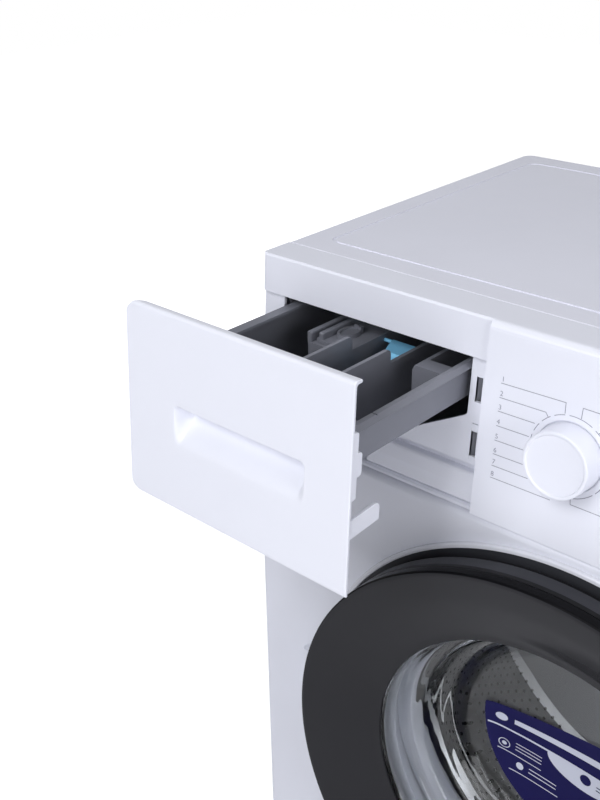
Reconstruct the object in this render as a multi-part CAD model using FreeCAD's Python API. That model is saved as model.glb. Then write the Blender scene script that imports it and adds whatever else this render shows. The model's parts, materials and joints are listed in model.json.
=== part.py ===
import FreeCAD, Part
import math
import os

# Front load washing machine, slim body, detergent drawer pulled out.
# Millimetres, +Z up, +Y towards the back. The origin is on the floor under the
# middle of the overall length and width, drawer out.

V = FreeCAD.Vector

# ---------------------------------------------------------------- cabinet
WIDTH = 595.0                 # cabinet width
DEPTH = 406.0                 # steel front to back panel
HEIGHT = 850.0                # floor to top of the worktop
HALF = WIDTH / 2
FRONT = -142.2                # steel front plane
BACK = FRONT + DEPTH
SHEET = 1.2                   # cabinet steel
BODY_LOW = 18.0               # underside of the cabinet above the floor
SEAM = HEIGHT - 146.0         # height of the joint between steel front and fascia
PLINTH_TOP = 104.0
TOP_THICK = 26.0              # worktop slab
TOP_START = 44.2              # worktop front edge behind the steel front
GAP = 0.3                     # seat of one piece beside another
RUN = 0.05                    # running fit of a shaft in its bearing

# ---------------------------------------------------------------- door
DOOR_Z = 471.8                # height of door and drum axis
DOOR_R = 217.5                # outer rim of the door ring
DOOR_FACE = -37.5             # front edge of the rim, ahead of the steel front
DISH_R = 150.6                # inner edge of the dished ring
DISH_FACE = -13.8
BEZEL_R = 224.5
HOLE_R = 172.0                # door hole in the steel front
HINGE_X = -DOOR_R - 6.5
HINGE_Y = -19.0               # hinge pin ahead of the steel front
HINGE_PIN_R = 2.5
GLASS_T = 4.0

# ---------------------------------------------------------------- fascia and drawer
LEAN = math.radians(4.0)      # backward lean of fascia and drawer front
FASCIA_LOW = -0.5             # fascia face ahead of the steel front at the seam
FASCIA_WALL = 2.6
FASCIA_LEFT = -85.2           # left edge of the right hand panel
STRIP_SET = 3.3               # strip above the drawer, set back from the panel
STRIP_H = 30.4
RECESS_SET = 8.0              # face around the drawer hole
LEDGE_TOP = 33.8              # lower edge of that face, above the seam
GROOVE_SET = 12.0             # back of the groove under it
LEDGE = [(3.2, 0.6), (3.7, 2.4), (5.2, 3.8), (8.0, 4.6), (8.0, 5.4), (4.3, 5.8), (3.4, 6.4), (3.1, 7.4),
         (3.9, 17.0),
         (5.2, 26.2), (5.9, 27.5), (7.2, 28.2), (GROOVE_SET, 28.4),
         (GROOVE_SET, 32.6)]    # (set back, up) below it
DRAWER_OUT = 135.2            # drawer pulled out by this much at rest
DRAWER_LEFT = -297.0
DRAWER_RIGHT = -86.0
DRAWER_LOW = 1.2              # above the seam, measured on the leaning face
DRAWER_TOP = SEAM + 149.3
PLATE = 2.4                   # drawer front plate
DRAWER_CORNER = 9.5           # rounded corner of the drawer front
BEAD = 7.2                    # depth of its rolled top edge
TRAY_LEFT = -272.0
TRAY_RIGHT = -105.0
TRAY_TOP = SEAM + 108.0
TRAY_WALL = 2.0
TRAY_BACK = 118.0             # rear wall of the tray behind the steel front, drawer out

# ---------------------------------------------------------------- controls
KNOB_X = -16.4
KNOB_UP = 70.3                # knob centre above the seam, on the face
KNOB_R = 24.0
KNOB_H = 19.0
STEM_R = 3.0
BUTTON_R = 8.0

# ---------------------------------------------------------------- drum and drive
TUB_R = 250.0
TUB_WALL = 3.0
DRUM_R = 233.0
DRUM_SHEET = 1.0
DRUM_START = 80.0
DRUM_END = DEPTH - 120.0
TUB_START = 62.0
TUB_SPLIT = 180.0
TUB_END = DEPTH - 94.0
SHAFT_R = 15.0
PULLEY_R = 130.0
PULLEY_Y = DEPTH - 40.0
BELT_W = 14.0
BELT_T = 3.0
MOTOR_X = 70.0
MOTOR_Y = PULLEY_Y - 166.0    # front of the motor can
MOTOR_Z = 140.0
MOTOR_R = 52.0
PINION_R = 10.0

# ---------------------------------------------------------------- cabinet details
VALVE_X = -190.0              # water inlet on the back
VALVE_Z = SEAM + 78.0
CORD_X = HALF - 61.5          # mains lead bush
CORD_Z = SEAM + 66.0
TRANSIT = [(x, z) for x, z in ((-150.0, SEAM - 14.0), (150.0, SEAM - 14.0), (-185.0, 300.0), (185.0, 300.0))]
BACK_SCREWS = [(side * (HALF - 8.5), z) for side in (-1, 1) for z in (60.0, 420.0, SEAM + 86.0)]
COVER_SCREWS = [(side * 174.0, z) for side in (-1, 1) for z in (370.0, 610.0)]
FEET = [(x, y) for x in (-252.0, 252.0) for y in (42.0, 366.0)]    # (x, y) of the four feet
RAIL_Y = 272.0                # front of the cross rail
COVER_X0 = 168.0              # drain filter cover
COVER_X1 = 264.0
COVER_Z0 = 34.0
COVER_Z1 = 94.0
COVER_PIN_Y = 4.0
COVER_PIN_Z = 38.0
COVER_PIN_R = 1.5

# ---------------------------------------------------------------- fascia details
LUG_X = -93.2                 # clip tab and guide lug of the drawer front
DISPLAY_X = 150.0
DISPLAY_UP = 96.0
DISPLAY_W = 92.0
DISPLAY_H = 34.0
BUTTONS = [(126.0, 44.0), (174.0, 44.0)]    # (x, up) of the option buttons
START_X = 246.0
START_UP = 70.0
START_R = 13.0
GRIP_X0 = -247.0              # scooped grip of the drawer front
GRIP_X1 = -129.0
GRIP_UP0 = 56.0
GRIP_UP1 = 82.4
TRAY_FRONT = -103.0           # front wall of the compartments
DIV1 = -195.5                 # left divider
DIV2 = -160.0                 # right divider
CAP_X = -214.0                # siphon stem
CAP_Y = 19.0
FLAP_PIN_R = 1.5              # pins of the liquid flap
FLAP_PIN_Y = 38.0
FLAP_PIN_Z = SEAM + 92.0
SPOUT_X = -205.0              # outlet of the dispenser
SPOUT_Y = 222.0

# ---------------------------------------------------------------- tub, suspension and pump
BEARING_R = 26.0              # outer radius of the drum bearings
SUMP_X = -30.0                # outlet under the tub
SUMP_Y = 200.0
BLOCK_LOW = 726.0             # flat underside of the counterweight
BLOCK_BOLTS = [(-40.0, 206.0), (90.0, 206.0), (-40.0, 240.0), (90.0, 240.0)]
SPRING_X = 216.0              # spring pegs, 6 outside the lugs
SPRING_LOW = 668.0
SPRING_HIGH = SEAM + 102.0
DAMPER_LOW = (214.0, 62.0)    # (x, z) of the lower damper pins
DAMPER_HIGH = (172.0, 268.0)  # (x, z) of the upper damper pins
DAMPER_Y = 232.0
PUMP_X = 216.0                # axis of filter and pump
PUMP_Z = 66.0

# ---------------------------------------------------------------- latch
HOOK_X = 190.0                # cross pin of the latch hook
HOOK_Y = -12.5


# ---------------------------------------------------------------- helpers
def box(x0, x1, y0, y1, z0, z1):
    """Block between two corners, y measured behind the steel front."""
    return Part.makeBox(x1 - x0, y1 - y0, z1 - z0, V(x0, FRONT + y0, z0))


def rod(r, y0, y1, x, z):
    """Cylinder along y."""
    return Part.makeCylinder(r, y1 - y0, V(x, FRONT + y0, z), V(0, 1, 0))


def post(r, z0, z1, x, y):
    """Cylinder along z."""
    return Part.makeCylinder(r, z1 - z0, V(x, FRONT + y, z0), V(0, 0, 1))


def bar(r, a, b):
    """Cylinder between two points."""
    a, b = V(*a), V(*b)
    return Part.makeCylinder(r, (b - a).Length, a, b - a)


def tube(outer, inner, y0, y1, x, z):
    return rod(outer, y0, y1, x, z).cut(rod(inner, y0 - 1, y1 + 1, x, z))


def prism_x(points, x0, x1):
    """Outline in (y, z) drawn out along x."""
    wire = Part.makePolygon([V(x0, FRONT + y, z) for y, z in points + points[:1]])
    return Part.Face(wire).extrude(V(x1 - x0, 0, 0))


def prism_y(points, y0, y1):
    """Outline in (x, z) drawn out along y."""
    wire = Part.makePolygon([V(x, FRONT + y0, z) for x, z in points + points[:1]])
    return Part.Face(wire).extrude(V(0, y1 - y0, 0))


def prism_z(points, z0, z1):
    """Outline in (x, y) drawn out along z."""
    wire = Part.makePolygon([V(x, FRONT + y, z0) for x, y in points + points[:1]])
    return Part.Face(wire).extrude(V(0, 0, z1 - z0))


def turned(points, x=0.0, z=DOOR_Z):
    """Outline in (radius, y) turned about an axis along y."""
    wire = Part.makePolygon([V(x + r, FRONT + y, z) for r, y in points + points[:1]])
    return Part.Face(wire).revolve(V(x, 0, z), V(0, 1, 0), 360)


def skin(points, thick):
    """Closed outline of a wall of even thickness that follows a line."""
    sides = [[], []]
    last = len(points) - 1
    for i, (a, b) in enumerate(points):
        before = points[max(i - 1, 0)]
        after = points[min(i + 1, last)]
        n1 = unit(-(b - before[1]), a - before[0]) if i else None
        n2 = unit(-(after[1] - b), after[0] - a) if i < last else None
        n1 = n1 or n2
        n2 = n2 or n1
        mid = unit(n1[0] + n2[0], n1[1] + n2[1])
        reach = thick / 2 / max(0.5, mid[0] * n1[0] + mid[1] * n1[1])
        sides[0].append((a + mid[0] * reach, b + mid[1] * reach))
        sides[1].append((a - mid[0] * reach, b - mid[1] * reach))
    return sides[0] + sides[1][::-1]


def unit(a, b):
    size = math.hypot(a, b)
    return (a / size, b / size)


def arc(cx, cy, r, start, end, steps):
    """Points on an arc, angles in degrees."""
    out = []
    for i in range(steps + 1):
        t = math.radians(start + (end - start) * i / steps)
        out.append((cx + r * math.cos(t), cy + r * math.sin(t)))
    return out


def join(shapes):
    first = shapes[0]
    whole = first.fuse(shapes[1:]) if len(shapes) > 1 else first
    return whole.removeSplitter()


def cut(shape, tools):
    return shape.cut(tools).removeSplitter() if tools else shape


def rounded(shape, radius, choose):
    """Fillet of every edge that the test picks."""
    edges = [e for e in shape.Edges if choose(e)]
    return shape.makeFillet(radius, edges)


def along(edge, axis):
    """True for a straight edge that runs along an axis."""
    if len(edge.Vertexes) < 2:
        return False
    d = edge.Vertexes[1].Point - edge.Vertexes[0].Point
    return d.Length > 1e-6 and abs(abs(d.dot(axis)) / d.Length - 1) < 1e-4


def face_y(z, set_back=0.0):
    """Depth of the leaning face at height z, measured behind the steel front."""
    return FASCIA_LOW + (z - SEAM) * math.tan(LEAN) + set_back


def on_face(shape, x, up, depth=0.0):
    """Places a shape, drawn with its back at y 0 and front towards -y, on the leaning face."""
    shape = shape.copy()
    shape.rotate(V(0, 0, 0), V(1, 0, 0), -math.degrees(LEAN))
    y = FASCIA_LOW + up * math.sin(LEAN) + depth * math.cos(LEAN)
    z = SEAM + up * math.cos(LEAN) - depth * math.sin(LEAN)
    shape.translate(V(x, FRONT + y, z))
    return shape


def disc_out(r, start, length):
    """Cylinder drawn for on_face: from start behind the face, growing outwards."""
    return Part.makeCylinder(r, length, V(0, start, 0), V(0, -1, 0))


# ---------------------------------------------------------------- cabinet pieces
def side_panel(side):
    """Steel side with folded edges and a raised field pressed into it."""
    top = HEIGHT - TOP_THICK - GAP
    back = DEPTH - SHEET - GAP
    x0 = -HALF if side < 0 else HALF - SHEET
    plate = box(x0, x0 + SHEET, 14.5, back, BODY_LOW, top)
    field = box(x0 - 1, x0 + SHEET + 1, 70, 350, 250, 640)
    field = rounded(field, 30.0, lambda e: along(e, V(1, 0, 0)))
    pressed = plate.common(field)
    pressed.translate(V(-0.6 * side, 0, 0))
    a = side * (HALF - SHEET)
    b = side * (HALF - SHEET - 14.0)
    lips = [
        box(min(a, b), max(a, b), back - SHEET, back, BODY_LOW, top),
        box(min(a, b), max(a, b), 46.0, back, top - SHEET, top),
        box(min(a, b), max(a, b), 16.0, back, BODY_LOW, BODY_LOW + SHEET),
    ]
    tools = [box(-HALF - 5, HALF + 5, 0, TOP_START, SEAM - GAP, HEIGHT)]
    tools += [rod(2.05, back - 5, back + 5, x, z) for x, z in BACK_SCREWS]
    return cut(join([plate.cut(field), pressed] + lips), tools)


def pan(x0, x1, y1, z0, z1, wall, r):
    """Front plate with side and top returns, open behind and below."""
    def front_edge(e):
        mid = e.CenterOfMass
        up = along(e, V(0, 0, 1)) or (along(e, V(1, 0, 0)) and mid.z > z1 - 0.1)
        return up and mid.y < FRONT + 0.1
    outer = rounded(box(x0, x1, 0, y1, z0, z1), r, front_edge)
    inner = box(x0 + wall, x1 - wall, wall, y1 + 5, z0 - 5, z1 - wall)
    inner_r = max(r - wall, 0.8)

    def inside_edge(e):
        mid = e.CenterOfMass
        up = along(e, V(0, 0, 1)) or (along(e, V(1, 0, 0)) and mid.z > z1 - wall - 0.1)
        return up and mid.y < FRONT + wall + 0.1
    return outer.cut(rounded(inner, inner_r, inside_edge))


def front_panel():
    """Steel front with folded edges, drawn door hole, latch slot and hinge slot."""
    panel = pan(-HALF, HALF, 14.0, PLINTH_TOP, SEAM - 0.4, SHEET, 6.0)
    panel = panel.cut(rod(HOLE_R + SHEET, -5, 30, 0, DOOR_Z))
    lip = turned([(HOLE_R + SHEET + 0.5, 0.0), (HOLE_R + SHEET + 0.5, SHEET), (HOLE_R + SHEET, 10.0),
                  (HOLE_R, 10.0), (HOLE_R, 0.0)])
    latch = box(HOOK_X - 8.5, HOOK_X + 8.5, -5, 10, DOOR_Z - 13, DOOR_Z + 13)
    hinge = box(HINGE_X - 4.2, HINGE_X + 4.2, -5, 10, DOOR_Z - 20.3, DOOR_Z + 20.3)
    return cut(join([panel, lip]), [latch, hinge])


def plinth_panel():
    """Kick panel with the window of the drain filter and two hinge eyes."""
    panel = pan(-HALF, HALF, 14.0, BODY_LOW + 3, PLINTH_TOP - GAP, 2.4, 5.0)
    window = box(COVER_X0 - 0.8, COVER_X1 + 0.8, -5, 10, COVER_Z0 - 1.6, COVER_Z1 + 0.8)
    eyes = []
    for x in (COVER_X0 - 5.0, COVER_X1 + 1.0):
        eyes.append(box(x, x + 4.0, 0.4, 8.0, COVER_Z0 - 4, COVER_Z0 + 8))
    pins = bar(COVER_PIN_R + RUN, (COVER_X0 - 6, FRONT + COVER_PIN_Y, COVER_PIN_Z),
               (COVER_X1 + 6, FRONT + COVER_PIN_Y, COVER_PIN_Z))
    return cut(join([panel.cut(window)] + eyes), [pins])


def filter_cover():
    """Flap over the drain filter, with finger notch and hinge pins."""
    plate = box(COVER_X0, COVER_X1, 0, 2.4, COVER_Z0 + 1.2, COVER_Z1)
    plate = rounded(plate, 1.0, lambda e: e.CenterOfMass.y < FRONT + 0.1)
    rim = box(COVER_X0 + 3, COVER_X1 - 3, 2.0, 6.0, COVER_Z1 - 5, COVER_Z1 - 3)
    ribs = [box(x, x + 2.0, 2.0, 5.6, COVER_PIN_Z - 1.6, COVER_Z1 - 4) for x in (COVER_X0 + 1, COVER_X1 - 3)]
    pins = [
        bar(COVER_PIN_R, (COVER_X0 - 4.6, FRONT + COVER_PIN_Y, COVER_PIN_Z),
            (COVER_X0 + 2, FRONT + COVER_PIN_Y, COVER_PIN_Z)),
        bar(COVER_PIN_R, (COVER_X1 - 2, FRONT + COVER_PIN_Y, COVER_PIN_Z),
            (COVER_X1 + 4.6, FRONT + COVER_PIN_Y, COVER_PIN_Z)),
    ]
    notch = bar(9.0, ((COVER_X0 + COVER_X1) / 2, FRONT - 6.6, COVER_Z1),
                ((COVER_X0 + COVER_X1) / 2, FRONT - 6.6, COVER_Z1 - 12))
    return cut(join([plate, rim] + ribs + pins), [notch])


def back_panel():
    panel = box(-HALF, HALF, DEPTH - SHEET, DEPTH, BODY_LOW, HEIGHT - TOP_THICK - GAP)
    cover = box(-165, 165, DEPTH - 5, DEPTH + 5, 330, 650)
    cover = rounded(cover, 40.0, lambda e: along(e, V(0, 1, 0)))
    holes = [cover, rod(15.0, DEPTH - 5, DEPTH + 5, VALVE_X, VALVE_Z),
             rod(9.0, DEPTH - 5, DEPTH + 5, CORD_X, CORD_Z)]
    holes += [rod(10.0, DEPTH - 5, DEPTH + 5, x, z) for x, z in TRANSIT]
    holes += [rod(2.05, DEPTH - 5, DEPTH + 5, x, z) for x, z in BACK_SCREWS + COVER_SCREWS]
    return panel.cut(holes)


def access_cover():
    """Pressed cover over the pulley, screwed to the back panel."""
    rim = box(-181, 181, DEPTH, DEPTH + SHEET, 314, 666)
    rim = rounded(rim, 20.0, lambda e: along(e, V(0, 1, 0)))
    dome = box(-160, 160, DEPTH + 0.2, DEPTH + 12, 335, 645)
    dome = rounded(dome, 36.0, lambda e: along(e, V(0, 1, 0)))
    core = box(-158.8, 158.8, DEPTH - 1, DEPTH + 12 - SHEET, 336.2, 643.8)
    core = rounded(core, 34.8, lambda e: along(e, V(0, 1, 0)))
    shape = join([rim, dome]).cut(core)
    return shape.cut([rod(2.05, DEPTH - 5, DEPTH + 5, x, z) for x, z in COVER_SCREWS])


def panel_screws():
    """Pan head screws of the back panel and its cover."""
    out = []
    for x, z in BACK_SCREWS + COVER_SCREWS:
        lift = SHEET if (x, z) in COVER_SCREWS else 0.0
        head = rod(4.2, DEPTH + lift, DEPTH + lift + 2.2, x, z)
        shank = rod(2.0, DEPTH - 9, DEPTH + lift, x, z)
        slot = box(x - 2.6, x + 2.6, DEPTH + lift + 1.2, DEPTH + lift + 3, z - 0.5, z + 0.5)
        out.append(head.fuse(shank).cut([slot, box(x - 0.5, x + 0.5, DEPTH + lift + 1.2, DEPTH + lift + 3,
                                                   z - 2.6, z + 2.6)]))
    return Part.makeCompound(out)


def transit_caps():
    """Plugs in the four holes of the transport bolts."""
    out = []
    for x, z in TRANSIT:
        head = rod(15.0, DEPTH, DEPTH + 2.0, x, z)
        out.append(head.fuse(tube(9.7, 7.5, DEPTH - 8, DEPTH, x, z)))
    return Part.makeCompound(out)


def cord_gland():
    """Strain relief for the mains lead, a round bush with a flattened bore."""
    body = rod(8.7, DEPTH - 9, DEPTH + 6, CORD_X, CORD_Z)
    flange = rod(12.0, DEPTH, DEPTH + 3, CORD_X, CORD_Z)
    nut = rod(12.5, DEPTH - SHEET - 5, DEPTH - SHEET - GAP, CORD_X, CORD_Z)
    bore = box(CORD_X - 4.2, CORD_X + 4.2, DEPTH - 20, DEPTH + 20, CORD_Z - 2.6, CORD_Z + 2.6)
    return cut(join([body, flange, nut]), [bore])


def base_frame():
    """Moulded floor pan with rim, cross ribs, foot bosses and damper brackets."""
    x = HALF - SHEET - GAP
    z0 = BODY_LOW + SHEET + GAP
    pan_outer = box(-x, x, 17.0, DEPTH - SHEET - 2 * GAP - SHEET, z0, z0 + 26)
    inner = box(-x + 3, x - 3, 20.0, DEPTH - 2 * SHEET - 2 * GAP - 3, z0 + 3, z0 + 40)
    ribs = [box(-x + 2, x - 2, y, y + 3, z0 + 2, z0 + 12) for y in (110.0, 290.0)]
    bosses = [post(14.0, z0, z0 + 26, fx, fy) for fx, fy in FEET]
    brackets = []
    for side in (-1, 1):
        cx = side * DAMPER_LOW[0]
        for dy in (-14.0, 10.0):
            brackets.append(box(cx - 12, cx + 12, DAMPER_Y + dy, DAMPER_Y + dy + 4,
                                z0 + 2, DAMPER_LOW[1] + 8))
    shape = join([pan_outer.cut(inner)] + ribs + bosses + brackets)
    tools = [post(5.3, z0 - 1, z0 + 30, fx, fy) for fx, fy in FEET]
    tools.append(rod(28.2, 10, 60, PUMP_X, PUMP_Z))
    tools += [rod(4.1, DAMPER_Y - 20, DAMPER_Y + 20, side * DAMPER_LOW[0], DAMPER_LOW[1]) for side in (-1, 1)]
    return cut(shape, tools)


def levelling_feet():
    """Four screw feet: rubber-faced pad, hexagon, stud and lock nut in one casting each."""
    out = []
    for x, y in FEET:
        pad = post(21.0, 0, 5, x, y).fuse(Part.makeCone(21.0, 12.0, 5, V(x, FRONT + y, 5)))
        hexagon = prism_z([(x + a, y + b) for a, b in arc(0, 0, 9.2, 0, 300, 5)], 10, BODY_LOW)
        out.append(join([pad, hexagon, post(5.0, 10, 58, x, y)]))
    return Part.makeCompound(out)


def worktop():
    """Board with rounded rear corners and an engraved line around its field."""
    slab = box(-HALF, HALF, TOP_START, DEPTH, HEIGHT - TOP_THICK, HEIGHT)
    slab = rounded(slab, 10.0, lambda e: along(e, V(0, 0, 1)) and e.CenterOfMass.y > BACK - 1)
    slab = rounded(slab, 1.5, lambda e: e.CenterOfMass.z > HEIGHT - 0.01)
    out = box(-HALF + 21, HALF - 21, TOP_START + 22, DEPTH - 26, HEIGHT - 0.8, HEIGHT + 1)
    out = rounded(out, 11.0, lambda e: along(e, V(0, 0, 1)))
    core = box(-HALF + 24, HALF - 24, TOP_START + 25, DEPTH - 29, HEIGHT - 2, HEIGHT + 2)
    core = rounded(core, 8.0, lambda e: along(e, V(0, 0, 1)))
    under = box(-HALF + 16, HALF - 16, TOP_START + 16, DEPTH - 16, HEIGHT - TOP_THICK - 1, HEIGHT - 8)
    return slab.cut([out.cut(core), under])


def cross_rail():
    """Folded steel rail between the sides, with the pegs that carry the springs."""
    x = HALF - SHEET - GAP
    outer = box(-x, x, RAIL_Y, RAIL_Y + 32, SEAM + 82.0, SEAM + 118.0)
    inner = box(-x - 1, x + 1, RAIL_Y + 1.5, RAIL_Y + 30.5, SEAM + 81.0, SEAM + 116.5)
    pegs = [rod(3.0, RAIL_Y + 1, RAIL_Y + 31, side * (SPRING_X - 6.0), SPRING_HIGH) for side in (-1, 1)]
    passage = box(VALVE_X - 14, VALVE_X + 14, RAIL_Y - 1, RAIL_Y + 33, SEAM + 76.0, SEAM + 110.0)
    return join([outer.cut(inner)] + pegs).cut(passage)


# ---------------------------------------------------------------- fascia
def lean_point(set_back, up):
    """(y, z) of a point set back from the leaning face, at a height along it."""
    y = FASCIA_LOW + up * math.sin(LEAN) + set_back * math.cos(LEAN)
    return (y, SEAM + up * math.cos(LEAN) - set_back * math.sin(LEAN))


def fascia_outline(set_back, inset, radius):
    """(y, z) outline: leaning front, rounded top edge, flat top, open back."""
    top = HEIGHT - inset
    low = SEAM + inset
    edge = top - radius
    points = [(face_y(low, set_back), low), (face_y(edge, set_back), edge)]
    cy = face_y(edge, set_back) + radius
    points += arc(cy, edge, radius, 176, 90, 5)[1:]
    return points + [(TOP_START - GAP + (5 if inset else 0), top),
                     (TOP_START - GAP + (5 if inset else 0), low)]


def control_fascia():
    """Moulded fascia: right hand panel, strip, recess, ledge, scoop and drawer hole."""
    wall = FASCIA_WALL
    right = prism_x(fascia_outline(0, 0, 6.0), FASCIA_LEFT, HALF)
    right = rounded(right, 5.0, lambda e: abs(e.CenterOfMass.x - HALF) < 0.1 and e.Length > 60
                    and e.CenterOfMass.y < FRONT + 20)
    right = right.cut(prism_x(fascia_outline(wall, wall, 3.4), FASCIA_LEFT + wall, HALF - wall))
    front = [lean_point(set_back, up) for set_back, up in LEDGE]
    front += [lean_point(RECESS_SET + 0.8, LEDGE_TOP - 0.9), lean_point(RECESS_SET, LEDGE_TOP)]
    front += [(face_y(HEIGHT - STRIP_H, RECESS_SET), HEIGHT - STRIP_H)]
    front += [(face_y(HEIGHT - STRIP_H, STRIP_SET), HEIGHT - STRIP_H)]
    front += [(face_y(HEIGHT - 1.6, STRIP_SET), HEIGHT - 1.6), (face_y(HEIGHT, STRIP_SET) + 1.4, HEIGHT)]
    front += [(TOP_START - GAP, HEIGHT), (TOP_START - GAP, SEAM + 0.2)]
    left = prism_x(front, -HALF, FASCIA_LEFT)
    left = rounded(left, 5.0, lambda e: abs(e.CenterOfMass.x + HALF) < 0.1 and 20 < e.Length < 40
                   and e.CenterOfMass.y < FRONT + 14 and e.CenterOfMass.z > SEAM + 121.0)
    back = TOP_START + 5
    upper = [lean_point(RECESS_SET + wall, LEDGE_TOP + 2.0),
             (face_y(SEAM + 112.0, RECESS_SET + wall), SEAM + 112.0),
             (face_y(SEAM + 112.0, STRIP_SET + wall), SEAM + 116.0),
             (face_y(SEAM + 142.0, STRIP_SET + wall), SEAM + 143.4), (back, SEAM + 143.4),
             (back, lean_point(RECESS_SET + wall, LEDGE_TOP + 2.0)[1])]
    lower = [lean_point(GROOVE_SET + wall, 2.8), lean_point(GROOVE_SET + wall, 36.0), (back, SEAM + 36),
             (back, SEAM + 2.8)]
    left = left.cut([prism_x(upper, -HALF + wall, FASCIA_LEFT - wall),
                     prism_x(lower, -HALF + wall, FASCIA_LEFT - wall)])
    hole = [(-277.0, HEIGHT - STRIP_H - 0.4), (-100.5, HEIGHT - STRIP_H - 0.4)]
    hole += arc(-104.5, SEAM + 72.0, 4.0, 0, -64, 3)
    hole += [(-166.0, SEAM + LEDGE_TOP), (-177.0, SEAM + 26.5), (-183.0, SEAM + 5.0), (-277.0, SEAM + 5.0)]
    tools = [prism_y(hole, -10, 46)]
    for z0, z1 in ((SEAM + 36.0, SEAM + 65.0), (SEAM + 81.0, SEAM + 100.0)):
        tools.append(box(LUG_X - 2.5, LUG_X + 2.5, -5, 46, z0, z1))
    whole = join([right, left]).cut(tools)
    tools = [on_face(disc_out(6.3, 8, 20), KNOB_X, KNOB_UP)]
    tools.append(on_face(disc_out(KNOB_R + 1.1, 1.2, 5), KNOB_X, KNOB_UP))
    tools.append(on_face(Part.makeBox(DISPLAY_W, 20, DISPLAY_H, V(-DISPLAY_W / 2, -6, -DISPLAY_H / 2)),
                         DISPLAY_X, DISPLAY_UP))
    for x, up in BUTTONS:
        tools.append(on_face(disc_out(BUTTON_R + 0.3, 8, 20), x, up))
    tools.append(on_face(disc_out(START_R + 0.3, 8, 20), START_X, START_UP))
    return whole.cut(tools).removeSplitter()


def display_window():
    """Dark window that fills the display hole, with a rear rim."""
    glass = Part.makeBox(DISPLAY_W - 0.6, 2.4, DISPLAY_H - 0.6,
                         V(-DISPLAY_W / 2 + 0.3, 0.2, -DISPLAY_H / 2 + 0.3))
    rim = Part.makeBox(DISPLAY_W + 6, 2.0, DISPLAY_H + 6, V(-DISPLAY_W / 2 - 3, FASCIA_WALL + GAP,
                                                            -DISPLAY_H / 2 - 3))
    core = Part.makeBox(DISPLAY_W - 8, 6.0, DISPLAY_H - 8, V(-DISPLAY_W / 2 + 4, FASCIA_WALL - 0.2,
                                                             -DISPLAY_H / 2 + 4))
    link = Part.makeBox(DISPLAY_W - 0.6, 1.5, DISPLAY_H - 0.6,
                        V(-DISPLAY_W / 2 + 0.3, 2.0, -DISPLAY_H / 2 + 0.3))
    return on_face(join([glass, rim, link]).cut(core), DISPLAY_X, DISPLAY_UP)


def control_board():
    """Circuit board behind the panel with display block, switches and relays."""
    parts = [Part.makeBox(262, 1.6, 92, V(-150, 15.0, -46))]
    parts.append(Part.makeBox(DISPLAY_W - 10, 8.0, DISPLAY_H - 10, V(DISPLAY_X - 146 - DISPLAY_W / 2 + 5, 7.2,
                                                                   DISPLAY_UP - 72 - DISPLAY_H / 2 + 5)))
    for x, up in BUTTONS + [(START_X, START_UP)]:
        parts.append(Part.makeBox(7, 5.0, 7, V(x - 146 - 3.5, 10.2, up - 72 - 3.5)))
    for x in (-138.0, -112.0, -86.0):
        parts.append(Part.makeBox(19, 9.0, 15, V(x + 74, 16.4, -38)))
    posts = [Part.makeCylinder(3.0, 15.0 - FASCIA_WALL - GAP, V(x, FASCIA_WALL + GAP, z), V(0, 1, 0))
             for x in (-62.0, 104.0) for z in (-38.0, 40.0)]
    board = join(parts + posts)
    board = board.cut(Part.makeBox(60, 30, 100, V(-151, 10, -50)))
    return on_face(board, 146.0, 72.0)


def dial_encoder():
    """Rotary switch behind the panel: board, body and neck bored for the dial's stem."""
    body = Part.makeBox(24, 12, 24, V(-12, 3.2 + 1.2, -12))
    plate = Part.makeBox(58, 1.6, 40, V(-29, 16.4, -20))
    neck = disc_out(5.8, 5.0, 6.0)
    bore = disc_out(STEM_R + RUN, 13.0, 20.0)
    posts = [Part.makeCylinder(2.6, 16.4 - FASCIA_WALL - GAP, V(x, FASCIA_WALL + GAP, z), V(0, 1, 0))
             for x in (-25.0, 25.0) for z in (-15.0, 15.0)]
    return on_face(join([body, plate, neck] + posts).cut(bore), KNOB_X, KNOB_UP)


def dial_knob():
    """Round knob with a rolled rim, a shallow dished face and a stem."""
    outline = [(0.0, -KNOB_H + 1.1), (KNOB_R - 3.4, -KNOB_H + 0.9), (KNOB_R - 2.6, -KNOB_H + 0.1)]
    outline += [(KNOB_R - 2.0, -KNOB_H)]
    outline += [(KNOB_R - 0.9, -KNOB_H + 0.5), (KNOB_R - 0.5, -KNOB_H + 1.8), (KNOB_R, -0.2 + 0.9)]
    outline += [(KNOB_R - 2.2, 0.7), (KNOB_R - 3.0, -KNOB_H + 4.0), (7.0, -KNOB_H + 4.0), (6.4, -2.0),
                (0.0, -2.0)]
    wire = Part.makePolygon([V(r, y, 0) for r, y in outline + outline[:1]])
    body = Part.Face(wire).revolve(V(0, 0, 0), V(0, 1, 0), 360)
    stem = disc_out(STEM_R, 12.0, 16.0)
    mark = Part.makeBox(1.4, 1.4, 9.0, V(-0.7, -KNOB_H - 0.2, KNOB_R - 12.0))
    return on_face(join([body, stem]).cut(mark), KNOB_X, KNOB_UP)


def push_button(x, up, r):
    """Domed push button with a rear collar that rests behind the panel."""
    cap = disc_out(r, 7.6, 8.8)
    cap = rounded(cap, 0.8, lambda e: e.CenterOfMass.y < -1.1)
    collar = disc_out(r + 2.0, 6.4, 6.4 - FASCIA_WALL - GAP)
    return on_face(join([cap, collar]), x, up)


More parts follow.
